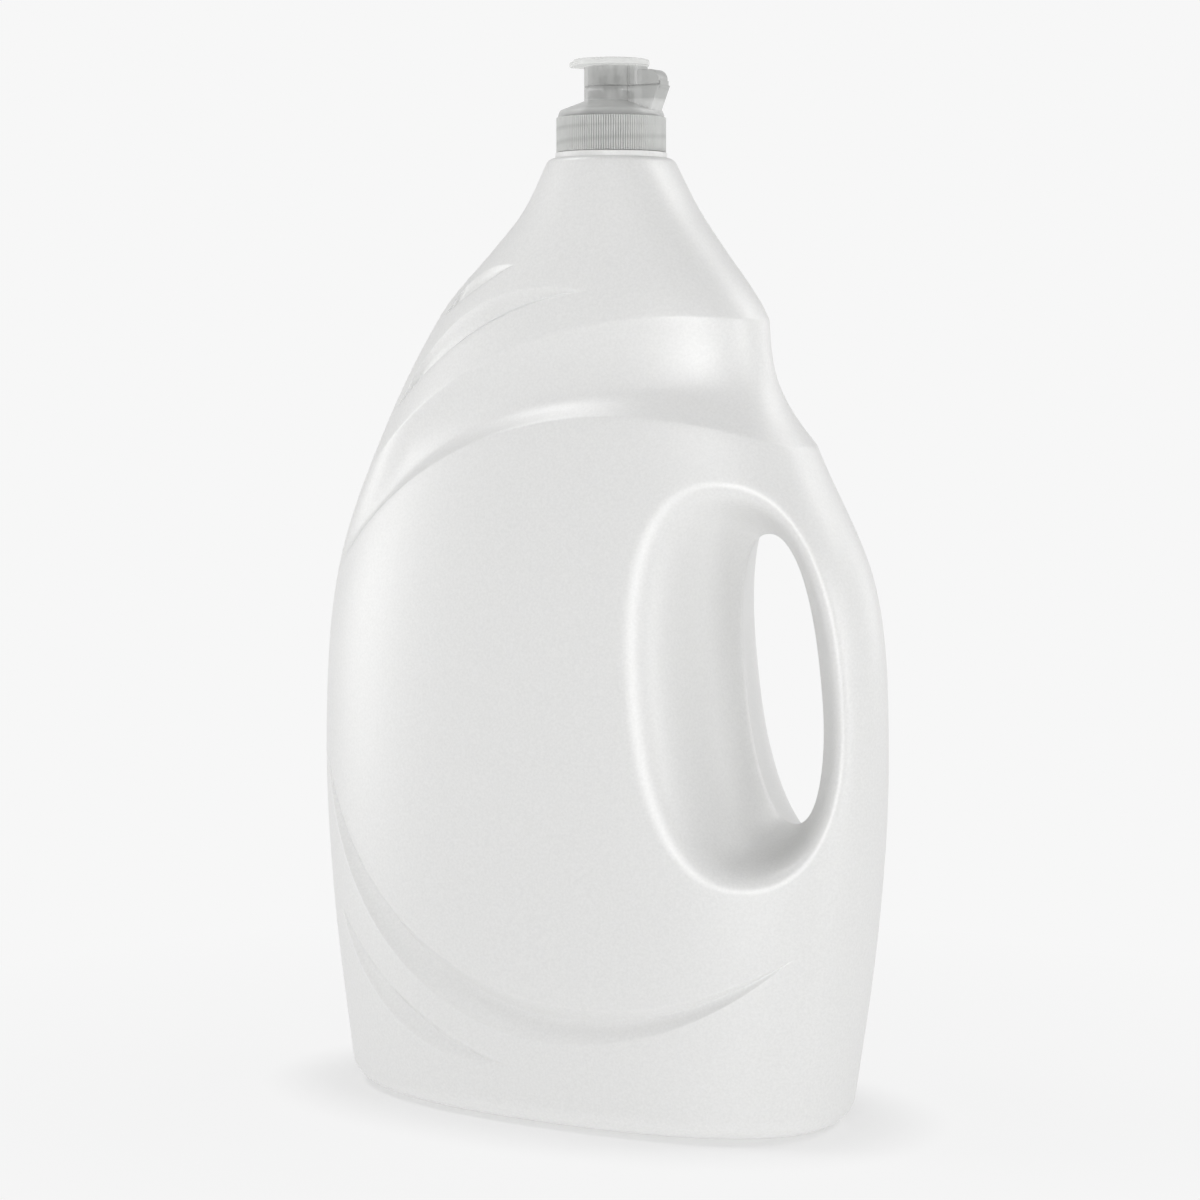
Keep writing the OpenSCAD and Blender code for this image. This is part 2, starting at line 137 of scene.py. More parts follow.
# Soft lamps: name, degrees to the camera's right and above the horizon, size in metres, watts
LAMP_REACH = 1.15
SOFTBOXES = (
    ("softbox_key", -4, 8, (0.5, 0.5), 4.6),
    ("softbox_fill", 50, 6, (0.25, 0.6), 1.9),
    ("softbox_left", -102, -1, (0.3, 0.7), 3.4),
    ("softbox_right", 118, 22, (0.2, 1.0), 1.8),
    ("softbox_top_left", -100, 55, (0.25, 0.4), 3.0),
    ("softbox_top_right", 92, 42, (0.25, 0.5), 2.2),
)
# Light of the world on the object, glow of the floor on the object, and reach of the shade at its foot
AMBIENT = 0.15
BOUNCE = 1.0
SHADE_REACH = 0.03

# Paper floor: half its side, its drop under the base, and its glow to the camera from close by to far off
FLOOR_HALF = 3.0
FLOOR_DROP = 0.0003
FLOOR_SPAN = (0.12, 0.3)
FLOOR_GLOW = (0.93, 1.0)

# Height that the lamps point at, and width of the camera's sensor in millimetres
AIM_HEIGHT = 0.14
SENSOR_WIDTH = 36

# Neck: turns of its thread, degrees over which the thread runs out, rounding of its edges, rows of its wall
THREAD_TURNS = 1.5
THREAD_FADE = 25.0
NECK_ROUND = 0.0004
BEAD_FOOT_ROUND = 0.0001
NECK_ROWS = 46

# Knurl ribs: radius as a share of half their pitch, sides, and the band left free below and above them
RIB_SHARE = 0.85
RIB_SIDES = 10
KNURL_FREE = (0.00005, 0.0002)

# Hinge film: half its height, width it leaves free, and its steps
FILM_HALF = 0.0011
FILM_MARGIN = 0.0008
FILM_STEPS = 10

# Rounding of the hinge blocks and web as a share of the moulded edge, and drop of the tab under the disc
BLOCK_EDGE = 0.7
LID_BLOCK_EDGE = 0.6
TAB_DROP = 0.0003

# Degrees beyond which an edge is drawn sharp
SHARP_BLOWN = 60
SHARP_MOULDED = 35
SHARP_RIBS = 60

# Pattern sizes in millimetres: mould grain, waves of the wall, clouds of the resin, polish marks
GRAIN_MM = 0.8
WAVE_MM = 45
CLOUD_MM = 3.5
MARK_MM = 0.6

# Grain tones of the bottle: place on the noise and factor on the colour
GRAIN_TONES = ((0.3, 0.955), (0.7, 1.02))

# Opacity of the closure: thin walls, cone, thick hinge blocks and knurled band
THIN_ALPHA = 0.45
CONE_ALPHA = 0.6
BLOCK_ALPHA = 0.7
KNURL_ALPHA = 0.75

# Painted shade of the neck's thread behind the skirt: span of its band within half a pitch, and its factor on
# the colour
PAINTED_THREAD_SPAN = (0.24, 0.46)
PAINTED_THREAD_SHADE = 0.85


def linear(code):
    """Linear colour of an sRGB hex value."""
    parts = [int(code[i:i + 2], 16) / 255 for i in (1, 3, 5)]
    return tuple(c / 12.92 if c <= 0.04045 else ((c + 0.055) / 1.055) ** 2.4 for c in parts) + (1.0,)


def length(name, description, millimetres):
    """A length property with its default in millimetres."""
    return FloatProperty(name=name, description=description, default=millimetres / 1000,
                         unit="LENGTH", precision=5)


def colour(name, description, code):
    """A colour property with its default as an sRGB hex value."""
    return FloatVectorProperty(name=name, description=description, subtype="COLOR", size=4, min=0, max=1,
                               default=linear(code))


class BottleSizes(bpy.types.PropertyGroup):
    """Sizes of the blown bottle"""

    body_w: length("Body width", "Width of the body, end to end", 188.93)
    body_d: length("Body depth", "Depth of the body, face to face", 83.93)
    body_h: length("Body height", "Height from the base to the top of the shoulder", 285.8)
    wall: length("Wall", "Wall of the blown shell", 1.3)
    heel_r: length("Heel radius", "Radius of the heel round the base", 8)
    foot_w: length("Foot width", "Width of the ring that the bottle stands on", 4)
    push_up_h: length("Push-up", "Rise of the base inside the standing ring", 3.5)
    shoulder_r: length("Shoulder radius", "Radius of the shoulder under the neck", 18.7)
    shoulder_round: length("Shoulder rounding", "Rounding of the shoulder's top edge", 1.6)
    neck_x: length("Neck offset", "Distance of the neck from the middle of the body", 4.8)
    grip_x: length("Throat place", "Distance of the grip's throat from the middle", 62.8)
    grip_z: length("Grip height", "Height of the grip opening's middle", 132.5)
    grip_w: length("Throat width", "Clear width of the grip at its throat", 23.5)
    grip_h: length("Throat height", "Clear height of the grip at its throat", 84)
    flare_x: length("Flare place", "Distance of the flare's middle from the middle", 60)
    flare_w: length("Flare width", "Width of the flare on the face", 62)
    flare_h: length("Flare height", "Height of the flare on the face", 118)
    throat_round: length("Throat rounding", "Half depth of the rounded ridge in the throat", 1.8)
    collar_d: length("Collar depth", "Depth of the collar's scoop", 4.6)
    long_d: length("Long crescent depth", "Depth of the long lower crescent", 4)
    short_d: length("Short crescent depth", "Depth of the short lower crescent", 2.8)
    shoulder_d: length("Shoulder crescent depth", "Depth of the shoulder crescent", 2.4)
    top_d: length("Top crescent depth", "Depth of the top crescent", 1.4)
    edge_r: length("Groove edge", "Half width of the rounding on a groove's edge", 0.25)
    row_gap: length("Row gap", "Least height of the rows beyond a crescent's tips", 0.8)
    neck_od: length("Neck diameter", "Outer diameter of the neck wall", 25.2)
    neck_bore: length("Neck bore", "Bore of the neck", 21.2)
    neck_h: length("Neck height", "Height of the neck above the shoulder", 12.6)
    bead_od: length("Bead diameter", "Diameter of the support bead", 33.4)
    bead_h: length("Bead height", "Height of the support bead", 1.7)
    thread_pitch: length("Thread pitch", "Rise of the neck's thread in one turn", 4.2)
    thread_h: length("Thread height", "Height of the thread out of the neck wall", 1.1)
    thread_base: length("Thread base", "Width of the thread at its root", 2.3)
    thread_crest: length("Thread crest", "Width of the thread at its crest", 0.8)
    thread_start: length("Thread start", "Height of the thread's start above the shoulder", 2.8)
    plastic: colour("Bottle plastic", "Colour of the satin white polyethylene", "#e7e7e6")


class ClosureSizes(bpy.types.PropertyGroup):
    """Sizes of the screw closure and its flip lid"""

    seat_z: length("Seat", "Height of the closure's lower edge", 287.6)
    skirt_od: length("Skirt diameter", "Diameter over the knurl", 32.8)
    skirt_bore: length("Skirt bore", "Bore of the skirt", 28.2)
    knurl_h: length("Knurl height", "Height of the knurl", 10.4)
    knurl_d: length("Knurl depth", "Depth of the knurl", 0.4)
    knurl_step: length("Knurl step", "Step of the knurl band out of the skirt", 0.15)
    knurl_count: IntProperty(name="Knurl ribs", description="Number of knurl ribs", default=140, min=20)
    skirt_h: length("Skirt height", "Height of the skirt to the edge of the cone", 12.3)
    cone_h: length("Cone height", "Height at which the cone meets the spout", 15.1)
    split_h: length("Split", "Height of the split between closure and lid", 19.3)
    gap: length("Gap", "Running gap between neighbouring pieces", 0.3)
    seam: length("Seam", "Seam that shows between closure and closed lid", 0.1)
    spout_od: length("Spout diameter", "Outer diameter of spout and lid tube", 16.2)
    spout_wall: length("Spout wall", "Wall of spout and lid tube", 1.2)
    nozzle_od: length("Nozzle diameter", "Outer diameter of the nozzle", 7.6)
    nozzle_h: length("Nozzle height", "Height of the nozzle above the split", 3.3)
    nozzle_bore: length("Nozzle bore", "Bore of the nozzle", 4.4)
    land_h: length("Sealing land", "Height of the land that sits on the neck", 11.1)
    plug_r: length("Plug radius", "Outer radius of the plug seal", 10.3)
    plug_h: length("Plug depth", "Depth of the plug seal inside the neck", 4)
    plug_wall: length("Plug wall", "Wall of the plug seal", 1)
    lid_od: length("Lid diameter", "Diameter of the lid's disc", 22.8)
    lid_t: length("Lid thickness", "Thickness of the lid's disc", 1.9)
    closure_h: length("Closure height", "Height of the whole closure", 27.4)
    tab_reach: length("Tab reach", "Reach of the thumb tab from the neck's axis", 13.7)
    tab_r: length("Tab radius", "Radius of the thumb tab's end", 5)
    pin_od: length("Pin diameter", "Diameter of the sealing pin", 3.4)
    pin_reach: length("Pin reach", "Reach of the sealing pin into the nozzle", 1.8)
    hinge_w: length("Hinge width", "Width of the lower hinge block", 7)
    lid_hinge_w: length("Lid hinge width", "Width of the lid's hinge block", 6)
    web_w: length("Web width", "Width of the lid's web", 7)
    web_reach: length("Web reach", "Reach of the lid's web from the neck's axis", 10.7)
    hinge_reach: length("Hinge reach", "Distance of the hinge axis from the neck's axis", 18.3)
    film_t: length("Film thickness", "Thickness of the living hinge", 0.3)
    lid_hinge_drop: length("Hinge drop", "Drop of the lid's hinge block below the disc", 1.6)
    lid_hinge_round: length("Hinge rounding", "Rounding of the lid block's rear corner", 3)
    edge_r: length("Edge rounding", "Rounding of the moulded edges", 0.45)
    plastic: colour("Closure plastic", "Colour of the natural grey polypropylene", "#bebfbd")
    # The disc's colour is painted light: a paler copy of the closure's plastic, for the light that comes
    # through its thin wall
    disc_painted_light: colour("Disc plastic", "Colour of the thin disc of the lid", "#eaebe8")
    # The cone's colour is painted light: a paler copy of the closure's plastic, as if the cone caught more
    # light from above
    cone_painted_light: colour("Cone plastic", "Colour of the cone, which catches more light", "#e4e5e3")
    knurl_plastic: colour("Knurl plastic", "Colour of the knurled band, which scatters more light", "#e2e3e1")


class StageSettings(bpy.types.PropertyGroup):
    """Camera, light and floor"""

    camera_azimuth: FloatProperty(name="Azimuth", description="Camera's turn round the neck's axis",
                                  default=math.radians(30), subtype="ANGLE")
    camera_tilt: FloatProperty(name="Tilt", description="Camera's tilt below the horizon",
                               default=math.radians(4.81), subtype="ANGLE")
    camera_turn: FloatProperty(name="Turn", description="Camera's turn to the left of the neck's axis",
                               default=math.radians(0.208), subtype="ANGLE")
    camera_reach: length("Distance", "Distance of the camera from the neck's axis", 922)
    camera_z: length("Height", "Height of the camera", 231)
    focal: FloatProperty(name="Focal length", description="Focal length in millimetres",
                         default=91.74, min=10)
    backdrop: colour("Backdrop", "Colour of floor and background", "#f7f7f7")


def spow(v, p):
    """Power that keeps the sign, for rounded plans."""
    return np.sign(v) * np.abs(v) ** p


def smooth(table, column, v):
    """Smooth curve through one column of a table."""
    t = np.asarray(table)
    at, value = t[:, 0], t[:, column]
    low = np.maximum(np.arange(len(at)) - 1, 0)
    high = np.minimum(np.arange(len(at)) + 1, len(at) - 1)
    slope = (value[high] - value[low]) / (at[high] - at[low])
    v = np.asarray(v, float)
    i = np.clip(np.searchsorted(at, v, side="right") - 1, 0, len(at) - 2)
    run = at[i + 1] - at[i]
    s = (v - at[i]) / run
    q = 1 - s
    ends = value[i] * q * q * (1 + 2 * s) + value[i + 1] * s * s * (3 - 2 * s)
    return ends + run * (slope[i] * s * q * q - slope[i + 1] * s * s * q)


def eased_ramp(d, r):
    """Zero below -r, d above r, and a parabola between."""
    return np.where(d <= -r, 0.0, np.where(d >= r, d, (d + r) ** 2 / (4 * r)))


class BodyForm:
    """The rule of the blown body's surface, in metres; columns are plan angles in degrees."""

    def __init__(self, sizes):
        self.s = sizes
        self.angles = np.arange(COLUMNS) * 360.0 / COLUMNS

    def half_w(self, z):
        s = self.s
        return s.shoulder_r + (s.body_w / 2 - s.shoulder_r) * smooth(OUTLINE_SHARES, 1, z / s.body_h)

    def half_d(self, z):
        s = self.s
        return s.shoulder_r + (s.body_d / 2 - s.shoulder_r) * smooth(OUTLINE_SHARES, 2, z / s.body_h)

    def centre(self, z):
        return self.s.neck_x * smooth(OUTLINE_SHARES, 3, z / self.s.body_h)

    def power(self, z):
        return 2 + (PLAN_POWER - 2) * smooth(OUTLINE_SHARES, 2, z / self.s.body_h)

    def plan(self, z, w, inset=0.0):
        """Point of the plan at a height and angle, moved inwards square to the plan."""
        a, b, n = self.half_w(z), self.half_d(z), self.power(z)
        c, s = np.cos(np.radians(w)), np.sin(np.radians(w))
        out_x = spow(c, 2 - 2 / n) / a
        out_y = spow(s, 2 - 2 / n) / b
        size = np.hypot(out_x, out_y)
        x = self.centre(z) + a * spow(c, 2 / n) - inset * out_x / size
        y = b * spow(s, 2 / n) - inset * out_y / size
        return x, y

    def face(self, z, w, e):
        """Point of the undented face of a plan drawn in by e."""
        n = self.power(z)
        x = self.centre(z) + (self.half_w(z) - e) * spow(np.cos(np.radians(w)), 2 / n)
        y = (self.half_d(z) - e) * spow(np.sin(np.radians(w)), 2 / n)
        return np.stack([x, y, z], -1)

    def face_angle(self, x, z, e):
        """Plan angle of a place on the face seen from the front."""
        share = np.clip((x - self.centre(z)) / (self.half_w(z) - e), -1, 1)
        return np.degrees(np.arccos(spow(share, self.power(z) / 2)))

    def slope_wall(self, z, e):
        """Wall measured square to the slope of the side."""
        step = 0.001
        rise = (self.half_w(np.minimum(z + step, self.s.body_h)) - self.half_w(z)) / step
        return e * np.sqrt(1 + rise ** 2)

    def arc_z(self, shares, x):
        """Height of an arc through two tips, seen from the front."""
        size = np.array([self.s.body_w / 2, self.s.body_h])
        p, q = np.array(shares[0]) * size, np.array(shares[1]) * size
        rise = shares[2] * self.s.body_h
        half = np.linalg.norm(q - p) / 2
        r = (half * half + rise * rise) / (2 * rise)
        up = np.array([p[1] - q[1], q[0] - p[0]]) / (2 * half)
        mid = (p + q) / 2 + up * (rise - r)
        dx = np.clip(x, p[0], q[0]) - mid[0]
        return mid[1] + np.sign(rise) * np.sqrt(np.maximum(0, r * r - dx * dx))

    def edge_z(self, shares, w):
        """Height at which that arc crosses each column of the body."""
        z = np.full(w.shape, self.s.body_h * (shares[0][1] + shares[1][1]) / 2)
        for _ in range(EDGE_TRIES):
            z = (z + self.arc_z(shares, self.plan(z, w)[0])) / 2
        return z

    def band(self, low, high, w, run, valley):
        """Low edge, valley and high edge of a groove on each column, and its share of full depth."""
        a, b = self.edge_z(low, w), self.edge_z(high, w)
        mid = (a + b) / 2
        half = np.maximum(b - a, self.s.row_gap) / 2
        fill = np.clip((b - a) / (run * self.s.body_h), 0, 1)
        low_z, high_z = mid - half, mid + half
        return low_z, low_z + valley * (high_z - low_z), high_z, fill

    def crescent(self, band, depth, fine):
        """Rows of a crescent: a floor and a wall that meet in a crisp valley."""
        low, valley, high, fill = band
        r = np.minimum(self.s.edge_r, EDGE_LIMIT * np.minimum(valley - low, high - valley))
        if fine:
            rows = [low + k * r for k in EDGE_STEPS] + [(low + valley) / 2]
            rows += [valley - r, valley, valley + r, (valley + high) / 2]
            rows += [high + k * r for k in EDGE_STEPS]
        else:
            rows = [low - r, low + r, valley, high - r, high + r]
        d = depth * fill
        k1, k2 = d / (valley - low), d / (high - valley)
        out = []
        for z in rows:
            floor = k1 * eased_ramp(z - low, r)
            turn = (k1 + k2) * eased_ramp(z - valley, r)
            out.append((z, floor - turn + k2 * eased_ramp(z - high, r)))
        return out

    def collar(self, band, depth, fine):
        """Rows of the collar: a scoop that turns smoothly in its valley."""
        low, valley, high, _ = band
        r = np.minimum(2 * self.s.edge_r, EDGE_LIMIT * np.minimum(valley - low, high - valley))
        floor_rows, wall_rows = (FINE if fine else COARSE)["collar"]
        steps = EDGE_STEPS if fine else (-1.0, 1.0)
        rows = [low + k * r for k in steps]
        rows += [low + r + (valley - low - r) * i / floor_rows for i in range(1, floor_rows)]
        rows += [valley + (high - valley - r) * i / wall_rows for i in range(wall_rows)]
        rows += [high + k * r for k in steps]
        out = []
        for z in rows:
            at = low + eased_ramp(z - low, r)
            at = high - eased_ramp(high - at, r)
            rising = np.sin(np.pi / 2 * np.clip((at - low) / (valley - low), 0, 1))
            falling = np.cos(np.pi / 2 * np.clip((at - valley) / (high - valley), 0, 1))
            out.append((z, depth * np.where(at < valley, rising, falling)))
        return out

    def rows(self, e, fine):
        """Heights and insets of all rows from foot to shoulder, and the frame's first and last row."""
        s = self.s
        counts = FINE if fine else COARSE
        w = np.where(self.angles > 180, 360 - self.angles, self.angles)
        flat = np.zeros(COLUMNS)
        handle = np.maximum(0, np.cos(np.radians(w))) ** 2
        collar_valley = COLLAR_VALLEY + (COLLAR_END_VALLEY - COLLAR_VALLEY) * handle
        short = self.band(SHORT_LOW, SHORT_HIGH, w, SHORT_RUN, LOWER_VALLEY)
        long = self.band(LONG_LOW, LONG_HIGH, w, LONG_RUN, LOWER_VALLEY)
        collar = self.band(COLLAR_LOW, COLLAR_HIGH, w, COLLAR_RUN, collar_valley)
        shoulder = self.band(SHOULDER_LOW, SHOULDER_HIGH, w, SHOULDER_RUN, UPPER_VALLEY)
        top = self.band(TOP_LOW, TOP_HIGH, w, TOP_RUN, UPPER_VALLEY)
        fade = np.clip((COLLAR_TIP_ANGLE - w) / COLLAR_FADE_ANGLE, 0, 1)
        fade = fade * fade * (3 - 2 * fade)
        collar_depth = s.collar_d * collar[3] * (2 - collar[3]) * fade
        groups = [
            self.crescent(short, s.short_d, fine),
            self.crescent(long, s.long_d, fine),
            self.collar(collar, collar_depth, fine),
            self.crescent(shoulder, s.shoulder_d, fine),
            self.crescent(top, s.top_d, fine),
        ]
        round_z = s.body_h - s.shoulder_round
        out = [(flat + e, flat + s.heel_r + s.foot_w)]
        reach = s.heel_r - e
        for t in np.radians(np.linspace(0, 90, counts["heel"])):
            out.append((flat + s.heel_r - reach * np.cos(t), flat + s.heel_r - reach * np.sin(t)))
        side = []
        below = flat + s.heel_r
        for k, group in enumerate(groups + [[(flat + round_z, flat)]]):
            above = group[0][0]
            if k == 2:
                shares = list(FRAME_LEAD) if fine else []
                first = len(out) + len(side) + len(shares)
                shares += list(np.linspace(*FRAME_SHARES, counts["frame"]))
                last = len(out) + len(side) + len(shares) - 1
                shares += FRAME_TAIL if fine else ()
            else:
                gaps = counts["gaps"][k]
                shares = [(i + 1) / (gaps + 1) for i in range(gaps)]
            side += [(below + (above - below) * share, flat) for share in shares]
            if k < len(groups):
                side += group
            below = group[-1][0]
        out += [(z, inset + self.slope_wall(z, e)) for z, inset in side]
        reach = s.shoulder_round - e
        for t in np.radians(np.linspace(0, 90, counts["shoulder"])):
            out.append((flat + round_z + reach * np.sin(t), flat + s.shoulder_round - reach * np.cos(t)))
        return out, first, last

    def skin(self, e, fine):
        """Rings of points from the foot to the shoulder, and the frame's first and last row."""
        rows, first, last = self.rows(e, fine)
        rings = []
        for z, inset in rows:
            x, y = self.plan(z, self.angles, inset)
            rings.append(np.stack([x, y, z], -1))
        return rings, first, last

    def base(self, foot, e, fine):
        """Rings of the push-up, from near its middle to the foot."""
        counts = FINE if fine else COARSE
        steps = [(k, self.s.push_up_h + e) for k in np.linspace(0.1, PUSH_UP_SHARE, counts["base"])]
        for t in np.linspace(0, 1, counts["rise"])[1:-1]:
            k = PUSH_UP_SHARE + (1 - PUSH_UP_SHARE) * t
            steps.append((k, e + self.s.push_up_h * (1 + math.cos(math.pi * t)) / 2))
        return [np.stack([foot[:, 0] * k, foot[:, 1] * k, np.full(COLUMNS, z)], -1) for k, z in steps]

    def grip_point(self, x, w, h, angle):
        """Point of a superellipse of the grip opening, in front view."""
        z = h / 2 * spow(np.sin(angle), 2 / GRIP_POWER)
        return x + GRIP_LEAN * z + w / 2 * spow(np.cos(angle), 2 / GRIP_POWER), self.s.grip_z + z

    def rays(self, starts, start_angles, e, counts):
        """Runs from the frame over the face and down the flare to the throat, one for each start."""
        s = self.s
        dz = starts[:, 2] - s.grip_z
        dx = starts[:, 0] - s.flare_x - GRIP_LEAN * dz
        angle = np.arctan2(spow(dz / s.flare_h, GRIP_POWER / 2), spow(dx / s.flare_w, GRIP_POWER / 2))
        throat_x, throat_z = self.grip_point(s.grip_x, s.grip_w + 2 * e, s.grip_h + 2 * e, angle)
        rim_x, rim_z = self.grip_point(s.flare_x, s.flare_w + e, s.flare_h + e, angle)
        rim_w = self.face_angle(rim_x, rim_z, e)
        near_x = rim_x + TANGENT_SHARE * (throat_x - rim_x)
        near_z = rim_z + TANGENT_SHARE * (throat_z - rim_z)
        out = []
        for i in range(1, counts[0]):
            t = i / counts[0]
            z = starts[:, 2] + (rim_z - starts[:, 2]) * t
            out.append(self.face(z, start_angles + (rim_w - start_angles) * t, e))
        p0 = self.face(rim_z, rim_w, e)
        along = self.face(near_z, self.face_angle(near_x, near_z, e), e) - p0
        # The rim is rounder on the side of the large face than on the slim handle
        share = RIM_SHARES[0] + (RIM_SHARES[1] - RIM_SHARES[0]) * (1 - np.cos(angle)) / 2
        p1 = p0 + share[:, None] / TANGENT_SHARE * along
        p3 = np.stack([throat_x, np.zeros_like(throat_x), throat_z], -1)
        p2 = p3 + THROAT_SHARE * (p0 - p3)
        slope = (p0 - p3) / p0[:, 1:2]
        h = s.throat_round
        for i in range(counts[1] + 1):
            t = i / counts[1]
            q = 1 - t
            p = q ** 3 * p0 + 3 * q * q * t * p1 + 3 * q * t * t * p2 + t ** 3 * p3
            y = p[:, 1:2]
            lift = np.where(y < h, (y * y + h * h) / (2 * h) - y, 0.0)
            p = p + lift * slope * np.array([1, 0, 1])
            out.append(p)
        return out

    def neck(self):
        """Rings of the plate, bead, threaded neck, lip and bore, from outside to inside."""
        s = self.s
        low, top = s.body_h, s.body_h + s.neck_h
        wall_r, bore_r, bead_r = s.neck_od / 2, s.neck_bore / 2, s.bead_od / 2
        bead_top = low + s.bead_h
        plate_r = s.shoulder_r - s.shoulder_round
        corners = [(plate_r, low), (bead_r, low), (bead_r, bead_top), (wall_r, bead_top), (wall_r, top),
                   (bore_r, top), (bore_r, low - s.wall), (plate_r, low - s.wall)]
        outline = fillet(corners, [0, BEAD_FOOT_ROUND] + [NECK_ROUND] * 5 + [0], False)
        rings = []
        for k, (r, z) in enumerate(outline):
            if 0 < k < len(outline) - 1:
                rings.append((r, z))
            following = outline[k + 1] if k + 1 < len(outline) else None
            if following and abs(r - wall_r) < 1e-6 and abs(following[0] - wall_r) < 1e-6:
                rings += [(r, z + (following[1] - z) * i / NECK_ROWS) for i in range(1, NECK_ROWS)]
        out = []
        turn = np.radians(self.angles)
        for r, z in rings:
            reach = np.full(COLUMNS, r)
            if abs(r - wall_r) < 1e-6:
                reach = reach + self.thread(z - low)
            x, y = s.neck_x + reach * np.cos(turn), reach * np.sin(turn)
            out.append(np.stack([x, y, np.full(COLUMNS, z)], -1))
        return out

    def thread(self, height):
        """Height of the neck's thread out of its wall at each column."""
        s = self.s
        out = np.zeros(COLUMNS)
        for k in range(int(THREAD_TURNS) + 1):
            total = self.angles + 360 * k
            middle = s.thread_start + s.thread_pitch * total / 360
            away = np.abs(height - middle)
            flank = np.clip((s.thread_base / 2 - away) / ((s.thread_base - s.thread_crest) / 2), 0, 1)
            flank = flank * flank * (3 - 2 * flank)
            ends = np.clip(np.minimum(total, 360 * THREAD_TURNS - total) / THREAD_FADE, 0, 1)
            out = np.maximum(out, s.thread_h * flank * ends)
        return out


def fillet(points, radii, closed=True, steps=4):
    """Outline with its corners rounded by the given radii."""
    out = []
    count = len(points)
    for i, (point, radius) in enumerate(zip(points, radii)):
        if radius <= 0 or (not closed and i in (0, count - 1)):
            out.append(tuple(point))
            continue
        p = Vector(point)
        a, b = Vector(points[i - 1]) - p, Vector(points[(i + 1) % count]) - p
        half = a.angle(b) / 2
        reach = min(radius / math.tan(half), 0.48 * a.length, 0.48 * b.length)
        a, b = p + a.normalized() * reach, p + b.normalized() * reach
        for k in range(steps + 1):
            t = k / steps
            out.append(tuple(a * (1 - t) ** 2 + p * 2 * t * (1 - t) + b * t * t))
    return out


def mesh_from(name, points, faces):
    """Plain mesh from points and faces."""
    mesh = bpy.data.meshes.new(name)
    mesh.from_pydata([tuple(p) for p in points], [], [tuple(int(i) for i in f) for f in faces])
    mesh.update()
    return mesh


def finish_mesh(mesh, sharp_angle):
    """Shades a mesh smooth, with creases only where it turns by more than an angle."""
    mesh.shade_smooth()
    mesh.set_sharp_from_angle(angle=math.radians(sharp_angle))
    mesh.validate()
    return mesh


def open_edges(mesh):
    """Number of edges that don't join exactly two faces."""
    uses = np.zeros(len(mesh.edges), int)
    edge_of_corner = np.zeros(len(mesh.loops), int)
    mesh.loops.foreach_get("edge_index", edge_of_corner)
    np.add.at(uses, edge_of_corner, 1)
    return int(np.sum(uses != 2))


def place(name, mesh, material, body):
    """Puts a finished mesh into the scene as a piece that rides on a body."""
    if not mesh.polygons or open_edges(mesh):
        raise RuntimeError(f"{name} isn't a closed mesh")
    mesh.name = name
    mesh.materials.clear()
    mesh.materials.append(material)
    piece = bpy.data.objects.new(name, mesh)
    bpy.context.scene.collection.objects.link(piece)
    if body is not None:
        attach(piece, body)
    return piece


def bottle_mesh(sizes):
    """Closed mesh of the blown shell: up the outside, over the neck's lip and down the inside."""
    form = BodyForm(sizes)
    outer, first, last = form.skin(0.0, True)
    inner, inner_first, inner_last = form.skin(sizes.wall, False)
    outer_base = form.base(outer[0], 0.0, True)
    inner_base = form.base(inner[0], sizes.wall, False)
    rings = outer_base + outer + form.neck() + inner[::-1] + inner_base[::-1]
    points = [np.concatenate(rings)]
    total = len(points[0])
    faces = []
    end = len(rings) - 1
    below, above = len(outer_base), end - len(inner_base)
    frames = [
        (below + first, below + last, 0.0, OUTER_RINGS),
        (above - inner_last, above - inner_first, sizes.wall, INNER_RINGS),
    ]
    left, right = FRAME_COLUMNS

    def at(i, j):
        return i * COLUMNS + j % COLUMNS

    for i in range(end):
        for j in range(COLUMNS):
            m = min(j, COLUMNS - 1 - j)
            if left <= m < right and any(f[0] <= i < f[1] for f in frames):
                continue
            faces.append((at(i, j), at(i, j + 1), at(i + 1, j + 1), at(i + 1, j)))
    for i, flip in ((0, True), (end, False)):
        middle = rings[i].mean(0)
        points.append(middle[None])
        for j in range(COLUMNS):
            pair = (at(i, j + 1), at(i, j)) if flip else (at(i, j), at(i, j + 1))
            faces.append((total,) + pair)
        total += 1
    for low, high, e, counts in frames:
        loop = [(j, low) for j in range(left, right)] + [(right, i) for i in range(low, high)]
        loop += [(j, high) for j in range(right, left, -1)] + [(left, i) for i in range(high, low, -1)]
        starts = np.array([rings[i][j] for j, i in loop])
        runs = form.rays(starts, form.angles[[j for j, _ in loop]], e, counts)
        count = len(loop)
        throat = np.arange(count) + total
        points.append(runs[-1])
        total += count
        for back in (True, False):
            side = [np.array([at(i, j if back else COLUMNS - j) for j, i in loop])]
            for run in runs[:-1]:
                points.append(run * np.array([1, 1 if back else -1, 1]))
                side.append(np.arange(count) + total)
                total += count
            side.append(throat)
            for a, b in zip(side, side[1:]):
                a_next, b_next = np.roll(a, -1), np.roll(b, -1)
                order = (a, a_next, b_next, b) if back else (a, b, b_next, a_next)
                faces += list(zip(*order))
    mesh = mesh_from("bottle_shell", np.concatenate(points), faces)
    return finish_mesh(mesh, SHARP_BLOWN)


